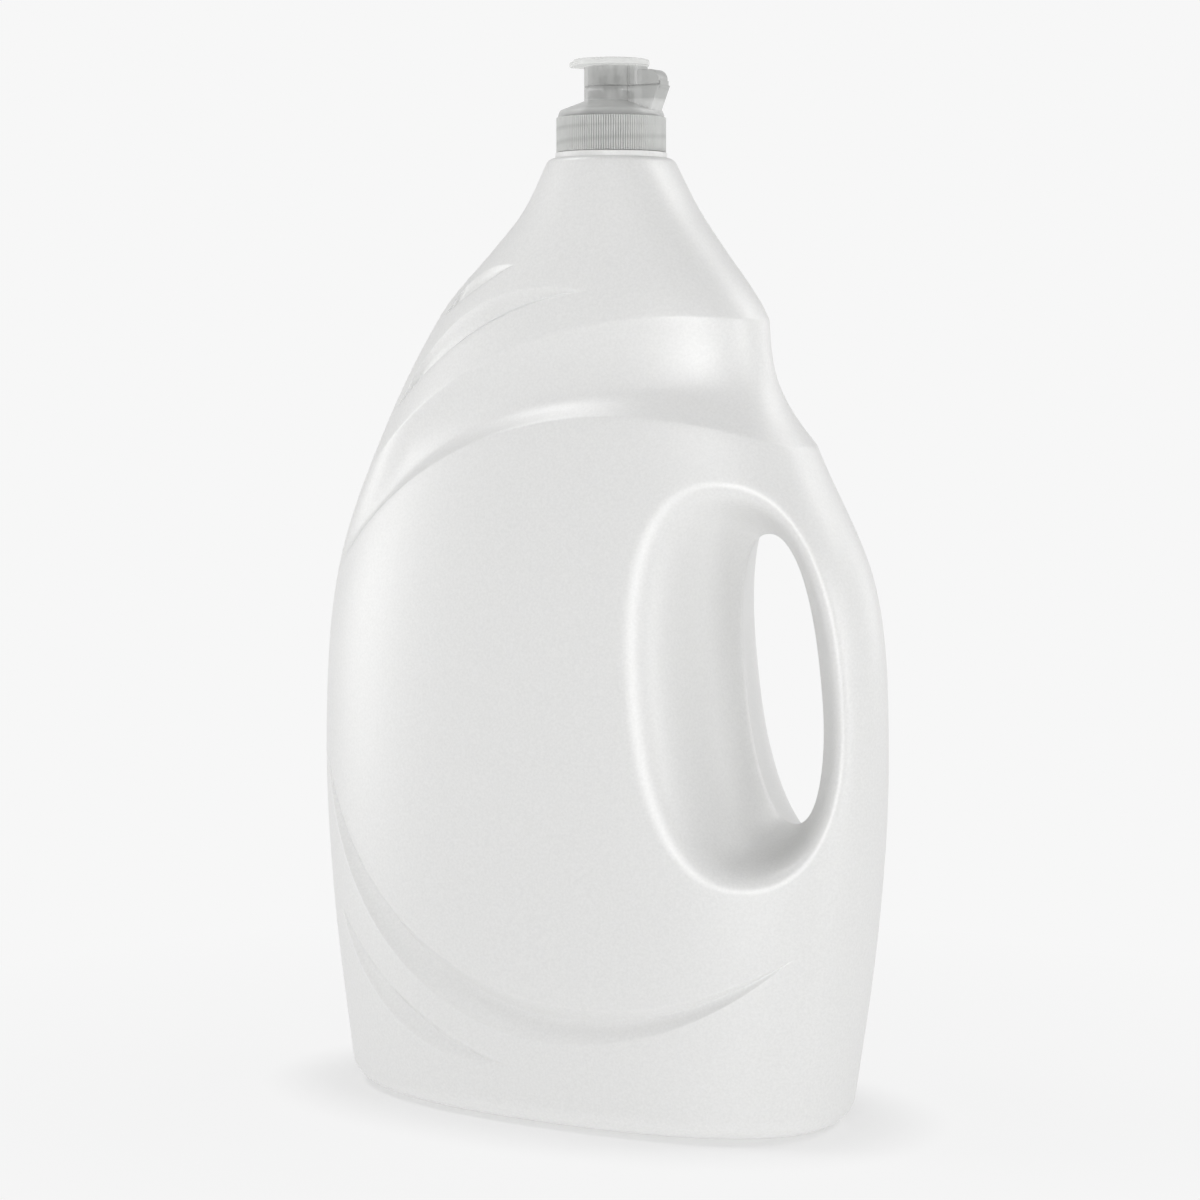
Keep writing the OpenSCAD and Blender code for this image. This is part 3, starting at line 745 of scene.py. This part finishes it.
def revolve(name, outline, axis_x, base_z, count):
    """Closed mesh of an outline of radius and height turned round an upright axis."""
    points, rings = [], []
    for r, z in outline:
        if r < 1e-7:
            rings.append([len(points)])
            points.append((axis_x, 0, base_z + z))
            continue
        rings.append(list(range(len(points), len(points) + count)))
        for j in range(count):
            turn = 2 * math.pi * j / count
            points.append((axis_x + r * math.cos(turn), r * math.sin(turn), base_z + z))
    faces = []
    open_ended = len(rings[0]) == 1 and len(rings[-1]) == 1
    pairs = list(zip(rings, rings[1:])) + ([] if open_ended else [(rings[-1], rings[0])])
    for a, b in pairs:
        for j in range(count):
            m = (j + 1) % count
            if len(a) == 1:
                faces.append((a[0], b[m], b[j]))
            elif len(b) == 1:
                faces.append((a[j], a[m], b[0]))
            else:
                faces.append((a[j], a[m], b[m], b[j]))
    return outward(mesh_from(name, points, faces))


def turned(name, corners, axis_x, base_z, closed=True, count=160):
    """Closed mesh turned from corners of radius, height and rounding in millimetres."""
    outline = fillet([c[:2] for c in corners], [c[2] / 1000 for c in corners], closed)
    return revolve(name, outline, axis_x, base_z, count)


def outward(mesh):
    """Turns every face of a closed mesh outwards."""
    form = bmesh.new()
    form.from_mesh(mesh)
    bmesh.ops.recalc_face_normals(form, faces=form.faces)
    form.to_mesh(mesh)
    form.free()
    return mesh


def slab(name, outline, width, edge, shift):
    """Closed mesh of a side outline drawn out across Y, with its edges rounded."""
    form = bmesh.new()
    near = [form.verts.new((x + shift[0], -width / 2, z + shift[1])) for x, z in outline]
    face = form.faces.new(near)
    far = bmesh.ops.extrude_face_region(form, geom=[face])
    for v in [v for v in far["geom"] if isinstance(v, bmesh.types.BMVert)]:
        v.co.y += width
    bmesh.ops.recalc_face_normals(form, faces=form.faces)
    rims = [e for e in form.edges if e.calc_face_angle(0) > math.radians(40)]
    bmesh.ops.bevel(form, geom=rims, offset=edge, segments=3, profile=0.5, affect="EDGES")
    mesh = bpy.data.meshes.new(name)
    form.to_mesh(mesh)
    form.free()
    return mesh


def united(name, meshes):
    """One mesh from overlapping closed meshes."""
    objects = []
    for k, mesh in enumerate(meshes):
        made = bpy.data.objects.new(f"{name}_{k}", mesh)
        bpy.context.scene.collection.objects.link(made)
        objects.append(made)
    for other in objects[1:]:
        join = objects[0].modifiers.new(other.name, "BOOLEAN")
        join.operation = "UNION"
        join.solver = "EXACT"
        join.object = other
    bpy.context.view_layer.update()
    whole = objects[0].evaluated_get(bpy.context.evaluated_depsgraph_get())
    mesh = bpy.data.meshes.new_from_object(whole)
    for made in objects:
        bpy.data.objects.remove(made)
    return mesh


def add_node(tree, kind, inputs=None, **settings):
    """Adds a node with its settings, its input values and its links."""
    made = tree.nodes.new(kind)
    for name, value in settings.items():
        setattr(made, name, value)
    for name, value in (inputs or {}).items():
        socket = made.inputs[name]
        if isinstance(value, bpy.types.NodeSocket):
            tree.links.new(value, socket)
        else:
            socket.default_value = value
    return made


def maths(tree, operation, *values):
    """Result of one sum on numbers and sockets."""
    return add_node(tree, "ShaderNodeMath", dict(enumerate(values)), operation=operation).outputs[0]


def mapped(tree, value, span=(0.0, 1.0), to=(0.0, 1.0)):
    """Value carried from one span to another and held at its ends."""
    return add_node(tree, "ShaderNodeMapRange", {
        "Value": value, "From Min": span[0], "From Max": span[1], "To Min": to[0], "To Max": to[1],
    }).outputs["Result"]


def noise(tree, place_at, millimetres, detail, roughness=0.5):
    """Noise with a pattern of that size."""
    return add_node(tree, "ShaderNodeTexNoise", {
        "Vector": place_at, "Scale": per_metre(millimetres), "Detail": detail, "Roughness": roughness,
    }).outputs["Fac"]


def material_of(build):
    """Node material named after the function that fills its tree, made on first use."""
    material = bpy.data.materials.get(build.__name__)
    if material is None:
        material = bpy.data.materials.new(build.__name__)
        material.use_nodes = True
        material.node_tree.nodes.clear()
        build(material.node_tree)
    return material


def shade(colour_value, factor):
    """Colour made darker or lighter by a factor."""
    return tuple(min(1.0, c * factor) for c in colour_value[:3]) + (1.0,)


def per_metre(millimetres):
    """Texture scale that gives a pattern of that size on Object coordinates."""
    return 1000 / millimetres


def satin_polyethylene_blown(tree):
    """High-density polyethylene, blown in a vapour-blasted mould: a soft satin white with a fine grain.

    A little pearl pigment in the resin adds a faint sheen to its highlights.
    """
    base = tuple(bpy.context.scene.bottle_sizes.plastic)
    place_at = add_node(tree, "ShaderNodeTexCoord").outputs["Object"]
    # Grain of the blasted mould, drawn coarser than real so that it shows in the render
    grain = noise(tree, place_at, GRAIN_MM, 2.0, 0.6)
    # Slow waves of the wall, from the parison's own thickness
    flow = noise(tree, place_at, WAVE_MM, 1.0)
    tone = add_node(tree, "ShaderNodeValToRGB", {"Fac": grain})
    for stop, (position, factor) in zip(tone.color_ramp.elements, GRAIN_TONES):
        stop.position = position
        stop.color = shade(base, factor)
    waves = add_node(tree, "ShaderNodeBump",
                     {"Height": flow, "Strength": 0.05, "Distance": 0.002}).outputs["Normal"]
    bumps = add_node(tree, "ShaderNodeBump", {
        "Height": grain, "Strength": 0.1, "Distance": 0.0001, "Normal": waves,
    }).outputs["Normal"]
    shader = add_node(tree, "ShaderNodeBsdfPrincipled", {
        "Base Color": tone.outputs["Color"], "Roughness": mapped(tree, flow, to=(0.41, 0.47)),
        "Normal": bumps, "IOR": 1.54, "Metallic": 0.1,
        "Subsurface Weight": 0.15, "Subsurface Radius": (1.0, 1.0, 0.9), "Subsurface Scale": 0.0015,
    })
    add_node(tree, "ShaderNodeOutputMaterial", {"Surface": shader.outputs["BSDF"]})


def height_ramp(tree, z, steps):
    """Colour and opacity of the closure by height; each step is height above the seat, colour and alpha."""
    s = bpy.context.scene.closure_sizes
    ramp = add_node(tree, "ShaderNodeValToRGB", {"Fac": mapped(tree, z, (s.seat_z, s.seat_z + s.closure_h))})
    stops = ramp.color_ramp.elements
    while len(stops) < len(steps):
        stops.new(1.0)
    for stop, (high, tint, alpha) in zip(stops, steps):
        stop.position = high / s.closure_h
        stop.color = tuple(tint)[:3] + (alpha,)
    return ramp.outputs


def clouded(tree, place_at, tint):
    """Clouds of the natural resin, a few millimetres wide, over a tint."""
    level = mapped(tree, noise(tree, place_at, CLOUD_MM, 2.0), (0.3, 0.7), (0.93, 1.0))
    return add_node(tree, "ShaderNodeMix", {"Factor": 1.0, "A": tint, "B": level},
                    data_type="RGBA", blend_type="MULTIPLY").outputs["Result"]


def polypropylene_surface(tree, place_at, tint, alpha):
    """Shader of the moulded closure, with the polish marks of its mould."""
    # The marks are drawn coarser than real so that they show in the render
    marks = noise(tree, place_at, MARK_MM, 1.0)
    bumps = add_node(tree, "ShaderNodeBump",
                     {"Height": marks, "Strength": 0.06, "Distance": 0.00005}).outputs["Normal"]
    shader = add_node(tree, "ShaderNodeBsdfPrincipled", {
        "Base Color": clouded(tree, place_at, tint), "Roughness": mapped(tree, marks, to=(0.29, 0.36)),
        "Normal": bumps, "IOR": 1.49, "Alpha": alpha,
    })
    add_node(tree, "ShaderNodeOutputMaterial", {"Surface": shader.outputs["BSDF"]})


def natural_polypropylene_moulded_painted_light(tree):
    """Natural polypropylene, injection moulded: grey and cloudy, so layers behind each other look darker."""
    s = bpy.context.scene.closure_sizes
    place_at = add_node(tree, "ShaderNodeTexCoord").outputs["Object"]
    at = add_node(tree, "ShaderNodeSeparateXYZ", {"Vector": place_at}).outputs
    under = s.closure_h - s.lid_t
    # Painted light: the cone is painted paler, as if it caught the light from above, and the lid's thin disc
    # is painted paler too
    ramp = height_ramp(tree, at["Z"], (
        (s.knurl_h, s.plastic, THIN_ALPHA),
        (s.skirt_h, s.cone_painted_light, CONE_ALPHA),
        (s.cone_h - s.edge_r, s.cone_painted_light, CONE_ALPHA),
        (s.cone_h + s.edge_r, s.plastic, THIN_ALPHA),
        (under - s.edge_r, s.plastic, THIN_ALPHA),
        (under, s.disc_painted_light, THIN_ALPHA),
    ))
    # The hinge blocks are thick, so they are less clear than the thin walls
    side = bpy.context.scene.bottle_sizes.neck_x + s.spout_od / 2
    thick = mapped(tree, at["X"], (side, side + s.edge_r), (0.0, BLOCK_ALPHA))
    above = mapped(tree, at["Z"], (s.seat_z + s.skirt_h, s.seat_z + s.cone_h))
    below = mapped(tree, at["Z"], (s.seat_z + under - s.edge_r, s.seat_z + under), (1.0, 0.0))
    thick = maths(tree, "MULTIPLY", thick, maths(tree, "MULTIPLY", above, below))
    polypropylene_surface(tree, place_at, ramp["Color"], maths(tree, "MAXIMUM", thick, ramp["Alpha"]))


def natural_polypropylene_knurled_painted_shade(tree):
    """The same resin on a fine knurl: it scatters more light, so it looks paler and less clear.

    Darker bands on a slant are painted shade where the neck's thread stands behind it.
    """
    scene = bpy.context.scene
    s, neck = scene.closure_sizes, scene.bottle_sizes
    place_at = add_node(tree, "ShaderNodeTexCoord").outputs["Object"]
    at = add_node(tree, "ShaderNodeSeparateXYZ", {"Vector": place_at}).outputs
    # Painted shade: darker bands on a slant where the neck's thread stands behind the skirt
    turn = maths(tree, "ARCTAN2", at["Y"], maths(tree, "SUBTRACT", at["X"], neck.neck_x))
    turn = maths(tree, "MULTIPLY", turn, -0.5 / math.pi)
    rise = maths(tree, "MULTIPLY_ADD", at["Z"], 1 / neck.thread_pitch, turn)
    band = mapped(tree, maths(tree, "PINGPONG", rise, 0.5), PAINTED_THREAD_SPAN)
    top = neck.body_h + neck.thread_start + THREAD_TURNS * neck.thread_pitch
    threaded = mapped(tree, at["Z"], (top, top + neck.thread_crest), (1.0, 0.0))
    tint = add_node(tree, "ShaderNodeMix", {
        "Factor": maths(tree, "MULTIPLY", band, threaded),
        "A": tuple(s.knurl_plastic), "B": shade(s.knurl_plastic, PAINTED_THREAD_SHADE),
    }, data_type="RGBA").outputs["Result"]
    polypropylene_surface(tree, place_at, tint, KNURL_ALPHA)


def knurl_tree():
    """Geometry nodes that set upright ribs round an axis."""
    tree = bpy.data.node_groups.new("knurl_ribs", "GeometryNodeTree")
    kinds = (
        ("Ribs", "Int"), ("Ring radius", "Float"), ("Rib radius", "Float"), ("Rib height", "Float"),
        ("Place", "Vector"), ("Material", "Material"),
    )
    for name, kind in kinds:
        tree.interface.new_socket(name, in_out="INPUT", socket_type="NodeSocket" + kind)
    tree.interface.new_socket("Geometry", in_out="OUTPUT", socket_type="NodeSocketGeometry")
    given = add_node(tree, "NodeGroupInput").outputs
    ring = add_node(tree, "GeometryNodeMeshCircle",
                    {"Vertices": given["Ribs"], "Radius": given["Ring radius"]})
    rib = add_node(tree, "GeometryNodeMeshCylinder", {
        "Vertices": RIB_SIDES, "Radius": given["Rib radius"], "Depth": given["Rib height"],
    })
    ribs = add_node(tree, "GeometryNodeInstanceOnPoints",
                    {"Points": ring.outputs["Mesh"], "Instance": rib.outputs["Mesh"]})
    moved = add_node(tree, "GeometryNodeTransform",
                     {"Geometry": ribs.outputs["Instances"], "Translation": given["Place"]})
    real = add_node(tree, "GeometryNodeRealizeInstances", {"Geometry": moved.outputs["Geometry"]})
    dressed = add_node(tree, "GeometryNodeSetMaterial",
                       {"Geometry": real.outputs["Geometry"], "Material": given["Material"]})
    add_node(tree, "NodeGroupOutput", {"Geometry": dressed.outputs["Geometry"]})
    return tree


def nodes_mesh(name, tree, values):
    """Plain mesh that a geometry node tree makes from named values."""
    maker = bpy.data.objects.new(name, bpy.data.meshes.new(name))
    bpy.context.scene.collection.objects.link(maker)
    step = maker.modifiers.new("nodes", "NODES")
    step.node_group = tree
    for item in tree.interface.items_tree:
        if item.in_out == "INPUT" and item.name in values:
            step[item.identifier] = values[item.name]
    bpy.context.view_layer.update()
    mesh = bpy.data.meshes.new_from_object(maker.evaluated_get(bpy.context.evaluated_depsgraph_get()))
    bpy.data.objects.remove(maker)
    return mesh


class BOTTLE_OT_shell(bpy.types.Operator):
    """Make the blown bottle"""

    bl_idname = "bottle.shell"
    bl_label = "Blown bottle"

    def execute(self, context):
        mesh = bottle_mesh(context.scene.bottle_sizes)
        piece = place("bottle_shell", mesh, material_of(satin_polyethylene_blown), "bottle")
        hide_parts("bottle")
        return {"FINISHED"}


class BOTTLE_OT_closure(bpy.types.Operator):
    """Make the screw closure with its spout, nozzle and lower hinge block"""

    bl_idname = "bottle.closure"
    bl_label = "Screw closure"

    def execute(self, context):
        s = context.scene.closure_sizes
        axis_x = context.scene.bottle_sizes.neck_x
        edge = s.edge_r
        skirt_r = s.skirt_od / 2 - s.knurl_d - s.knurl_step
        band_r = skirt_r + s.knurl_step
        spout_r = s.spout_od / 2
        inner_r = s.plug_r - s.plug_wall
        plug_low, roof = s.land_h - s.plug_h, s.split_h - s.spout_wall
        tip = s.split_h + s.nozzle_h
        corners = (
            (s.skirt_bore / 2, 0, 0.3), (s.skirt_bore / 2, s.land_h, 0.4), (s.plug_r, s.land_h, 0.3),
            (s.plug_r, plug_low, 0.4), (inner_r, plug_low, 0.4), (inner_r, s.skirt_h - edge, 0.6),
            (spout_r - s.spout_wall, s.cone_h - s.spout_wall, 0.6), (spout_r - s.spout_wall, roof, 0.4),
            (s.nozzle_bore / 2, roof, 0.3), (s.nozzle_bore / 2, tip, 0.3), (s.nozzle_od / 2, tip, 0.5),
            (s.nozzle_od / 2, s.split_h, 0.4), (spout_r, s.split_h, 0.25), (spout_r, s.cone_h, 0.7),
            (skirt_r - edge, s.skirt_h, 1.2), (skirt_r, s.skirt_h - 3 * edge, 0.8),
            (skirt_r, s.knurl_h, 0.05), (band_r, s.knurl_h, 0.1), (band_r, 0, 0.3),
        )
        spun = turned("closure_turned", corners, axis_x, s.seat_z)
        root = spout_r - s.spout_wall / 2
        side = [(root, s.cone_h - s.spout_wall), (skirt_r - 2 * edge, s.skirt_h - 2 * edge),
                (skirt_r - edge, s.skirt_h - edge / 2), (s.hinge_reach, s.split_h), (root, s.split_h)]
        block = slab("closure_block", side, s.hinge_w, edge * BLOCK_EDGE, (axis_x, s.seat_z))
        mesh = finish_mesh(united("screw_closure", [spun, block]), SHARP_MOULDED)
        plastic = material_of(natural_polypropylene_moulded_painted_light)
        piece = place("screw_closure", mesh, plastic, "closure")
        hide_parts("closure_body")
        return {"FINISHED"}


class BOTTLE_OT_knurl(bpy.types.Operator):
    """Set the knurl ribs round the closure's skirt"""

    bl_idname = "bottle.knurl"
    bl_label = "Knurl"

    def execute(self, context):
        s = context.scene.closure_sizes
        crest = s.skirt_od / 2
        rib_r = math.pi * crest / s.knurl_count * RIB_SHARE
        low, top = KNURL_FREE[0], s.knurl_h - KNURL_FREE[1]
        plastic = material_of(natural_polypropylene_knurled_painted_shade)
        values = {
            "Ribs": s.knurl_count, "Ring radius": crest - rib_r, "Rib radius": rib_r,
            "Rib height": top - low, "Material": plastic,
            "Place": (context.scene.bottle_sizes.neck_x, 0.0, s.seat_z + (top + low) / 2),
        }
        mesh = finish_mesh(nodes_mesh("knurl_ribs", knurl_tree(), values), SHARP_RIBS)
        piece = place("knurl_ribs", mesh, plastic, "closure")
        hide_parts("closure_body")
        return {"FINISHED"}


class BOTTLE_OT_lid(bpy.types.Operator):
    """Make the flip lid with its tube, sealing pin, thumb tab, web and hinge block"""

    bl_idname = "bottle.lid"
    bl_label = "Flip lid"

    def execute(self, context):
        s = context.scene.closure_sizes
        axis_x = context.scene.bottle_sizes.neck_x
        edge = s.edge_r
        spout_r, tube_r = s.spout_od / 2, s.spout_od / 2 - s.spout_wall
        low, under = s.split_h + s.seam, s.closure_h - s.lid_t
        pin_low = s.split_h + s.nozzle_h - s.pin_reach
        corners = (
            (0, pin_low, 0), (s.pin_od / 2, pin_low, 0.6), (s.pin_od / 2, under, 0.3), (tube_r, under, 0.4),
            (tube_r, low, 0.2), (spout_r, low, 0.25), (spout_r, under, 0.4), (s.lid_od / 2, under, 0.4),
            (s.lid_od / 2, s.closure_h, 0.6), (0, s.closure_h, 0),
        )
        spun = turned("lid_turned", corners, axis_x, s.seat_z, False)
        tab_top = s.closure_h - TAB_DROP
        corners = ((0, under, 0), (s.tab_r, under, 0.45), (s.tab_r, tab_top, 0.7), (0, tab_top, 0))
        tab = turned("lid_tab", corners, axis_x + s.tab_r - s.tab_reach, s.seat_z, False, 96)
        root = spout_r - s.spout_wall / 2
        rear = s.hinge_reach - s.film_t - s.gap
        high = under - s.lid_hinge_drop
        r = s.lid_hinge_round
        side = [(root, low), (rear, low)]
        turns = np.radians(np.arange(0, 91, 10))
        side += [(rear - r + r * math.cos(t), high - r + r * math.sin(t)) for t in turns]
        side += [(root, high)]
        block = slab("lid_block", side, s.lid_hinge_w, edge * LID_BLOCK_EDGE, (axis_x, s.seat_z))
        web_side = [(root, low), (s.web_reach, low), (s.web_reach, under + edge), (root, under + edge)]
        web = slab("lid_web", web_side, s.web_w, edge * BLOCK_EDGE, (axis_x, s.seat_z))
        mesh = finish_mesh(united("flip_lid_cover", [spun, tab, web, block]), SHARP_MOULDED)
        plastic = material_of(natural_polypropylene_moulded_painted_light)
        piece = place("flip_lid_cover", mesh, plastic, "lid")
        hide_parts("flip_lid")
        return {"FINISHED"}


class BOTTLE_OT_hinge_film(bpy.types.Operator):
    """Make the thin film that joins closure and lid"""

    bl_idname = "bottle.hinge_film"
    bl_label = "Living hinge"

    def execute(self, context):
        s = context.scene.closure_sizes
        axis_x = context.scene.bottle_sizes.neck_x
        middle = s.split_h + s.gap / 2
        half, width = FILM_HALF, s.lid_hinge_w - FILM_MARGIN
        outer = s.hinge_reach - s.film_t / 2
        inner = outer - s.film_t
        steps = FILM_STEPS
        heights = [middle - half + 2 * half * i / steps for i in range(steps + 1)]
        points, faces = [], []
        for z in heights:
            for x, y in ((inner, -width / 2), (outer, -width / 2), (outer, width / 2), (inner, width / 2)):
                points.append((axis_x + x, y, s.seat_z + z))
        for i in range(steps):
            for k in range(4):
                m = (k + 1) % 4
                faces.append((4 * i + k, 4 * i + m, 4 * i + 4 + m, 4 * i + 4 + k))
        faces += [(3, 2, 1, 0), tuple(4 * steps + k for k in range(4))]
        mesh = finish_mesh(outward(mesh_from("hinge_film", points, faces)), SHARP_MOULDED)
        plastic = material_of(natural_polypropylene_moulded_painted_light)
        piece = place("hinge_film", mesh, plastic, None)
        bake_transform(piece)
        return {"FINISHED"}


def seen_directly(tree):
    """One for rays of the camera and for those that gloss or clear plastic sends on, and else nought."""
    path = add_node(tree, "ShaderNodeLightPath").outputs
    seen = maths(tree, "MAXIMUM", path["Is Camera Ray"], path["Is Glossy Ray"])
    return maths(tree, "MAXIMUM", seen, path["Is Transmission Ray"])


def pale_paper_floor(tree):
    """Pale sweep of paper: as bright as the background to the camera, and darker where shade falls on it."""
    tint = tuple(bpy.context.scene.bottle_stage.backdrop)
    place_at = add_node(tree, "ShaderNodeTexCoord").outputs["Object"]
    away = add_node(tree, "ShaderNodeVectorMath", {0: place_at}, operation="LENGTH").outputs["Value"]
    # Close to the object the glow gives way, so that its shadow on the paper shows
    near = add_node(tree, "ShaderNodeAmbientOcclusion", {"Distance": SHADE_REACH}).outputs["AO"]
    glowing = maths(tree, "MULTIPLY", mapped(tree, away, FLOOR_SPAN, FLOOR_GLOW), near)
    # The camera sees the shade on the paper; only the object gets the bounce of a bright sweep
    rest = maths(tree, "SUBTRACT", glowing, BOUNCE)
    share = maths(tree, "MULTIPLY_ADD", seen_directly(tree), rest, BOUNCE)
    paper = add_node(tree, "ShaderNodeBsdfDiffuse", {"Color": tint}).outputs["BSDF"]
    glow = add_node(tree, "ShaderNodeEmission", {"Color": tint, "Strength": 1.0}).outputs["Emission"]
    mixed = add_node(tree, "ShaderNodeMixShader", {"Fac": share, 1: paper, 2: glow}).outputs["Shader"]
    add_node(tree, "ShaderNodeOutputMaterial", {"Surface": mixed})


def light_world(tint, strength):
    """World that is the backdrop's colour to the camera and a weaker white to the object."""
    world = bpy.data.worlds.new("studio")
    bpy.context.scene.world = world
    world.use_nodes = True
    tree = world.node_tree
    tree.nodes.clear()
    ambient = add_node(tree, "ShaderNodeBackground", {"Color": (1, 1, 1, 1), "Strength": strength})
    paper = add_node(tree, "ShaderNodeBackground", {"Color": tint, "Strength": 1.0})
    mixed = add_node(tree, "ShaderNodeMixShader", {
        "Fac": seen_directly(tree), 1: ambient.outputs["Background"], 2: paper.outputs["Background"],
    })
    add_node(tree, "ShaderNodeOutputWorld", {"Surface": mixed.outputs["Shader"]})


def add_softbox(name, spot, target, size, watts):
    """Large soft lamp at a spot, turned to a target."""
    lamp = bpy.data.lights.new(name, "AREA")
    lamp.shape = "RECTANGLE"
    lamp.size, lamp.size_y = size
    lamp.energy = watts
    made = bpy.data.objects.new(name, lamp)
    made.location = spot
    made.rotation_euler = (Vector(target) - Vector(spot)).to_track_quat("-Z", "Y").to_euler()
    bpy.context.scene.collection.objects.link(made)


class BOTTLE_OT_stage(bpy.types.Operator):
    """Set up the floor, the soft studio light and the camera"""

    bl_idname = "bottle.stage"
    bl_label = "Studio stage"

    def execute(self, context):
        scene = context.scene
        settings = scene.bottle_stage
        scene.view_settings.view_transform = "Standard"
        signs = ((-1, -1), (1, -1), (1, 1), (-1, 1))
        corners = [(x * FLOOR_HALF, y * FLOOR_HALF, -FLOOR_DROP) for x, y in signs]
        floor = bpy.data.objects.new("paper_floor", mesh_from("paper_floor", corners, [(0, 1, 2, 3)]))
        floor.data.materials.append(material_of(pale_paper_floor))
        scene.collection.objects.link(floor)
        light_world(tuple(settings.backdrop), AMBIENT)
        turn = settings.camera_azimuth
        right = Vector((math.cos(turn), math.sin(turn), 0))
        back = Vector((math.sin(turn), -math.cos(turn), 0))
        axis = Vector((scene.bottle_sizes.neck_x, 0, 0))
        target = axis + Vector((0, 0, AIM_HEIGHT))
        up = Vector((0, 0, 1))
        for name, azimuth, rise, size, watts in SOFTBOXES:
            side = math.radians(azimuth)
            high = math.radians(rise)
            out = (right * math.sin(side) + back * math.cos(side)) * math.cos(high) + up * math.sin(high)
            add_softbox(name, target + out * LAMP_REACH, target, size, watts)
        lens = bpy.data.cameras.new("camera")
        lens.sensor_width = SENSOR_WIDTH
        lens.lens = settings.focal
        camera = bpy.data.objects.new("camera", lens)
        camera.location = axis + back * settings.camera_reach + up * settings.camera_z
        upright = Matrix.Rotation(turn + settings.camera_turn, 4, "Z")
        tilt = Matrix.Rotation(math.pi / 2 - settings.camera_tilt, 4, "X")
        camera.rotation_euler = (upright @ tilt).to_euler()
        scene.collection.objects.link(camera)
        scene.camera = camera
        return {"FINISHED"}


class BOTTLE_PT_panel(bpy.types.Panel):
    """Sidebar list of the bottle's pieces"""

    bl_idname = "BOTTLE_PT_panel"
    bl_label = "Dish soap bottle"
    bl_space_type = "VIEW_3D"
    bl_region_type = "UI"
    bl_category = "Bottle"

    def draw(self, context):
        layout = self.layout
        for operator in OPERATORS:
            layout.operator(operator.bl_idname)
        for group in (context.scene.bottle_sizes, context.scene.closure_sizes, context.scene.bottle_stage):
            column = layout.column()
            for name in group.bl_rna.properties.keys():
                if name not in ("name", "rna_type"):
                    column.prop(group, name)


OPERATORS = (
    BOTTLE_OT_shell, BOTTLE_OT_closure, BOTTLE_OT_knurl, BOTTLE_OT_lid, BOTTLE_OT_hinge_film, BOTTLE_OT_stage,
)
CLASSES = (BottleSizes, ClosureSizes, StageSettings) + OPERATORS + (BOTTLE_PT_panel,)


def register():
    """Registers the add-on's classes and its settings on the scene."""
    for made in CLASSES:
        bpy.utils.register_class(made)
    bpy.types.Scene.bottle_sizes = PointerProperty(type=BottleSizes)
    bpy.types.Scene.closure_sizes = PointerProperty(type=ClosureSizes)
    bpy.types.Scene.bottle_stage = PointerProperty(type=StageSettings)


def unregister():
    """Removes what register added."""
    del bpy.types.Scene.bottle_stage
    del bpy.types.Scene.closure_sizes
    del bpy.types.Scene.bottle_sizes
    for made in reversed(CLASSES):
        bpy.utils.unregister_class(made)


def main():
    """Builds the whole scene."""
    register()
    bpy.ops.bottle.shell()
    bpy.ops.bottle.closure()
    bpy.ops.bottle.knurl()
    bpy.ops.bottle.lid()
    bpy.ops.bottle.hinge_film()
    bpy.ops.bottle.stage()


if __name__ == "__main__":
    main()
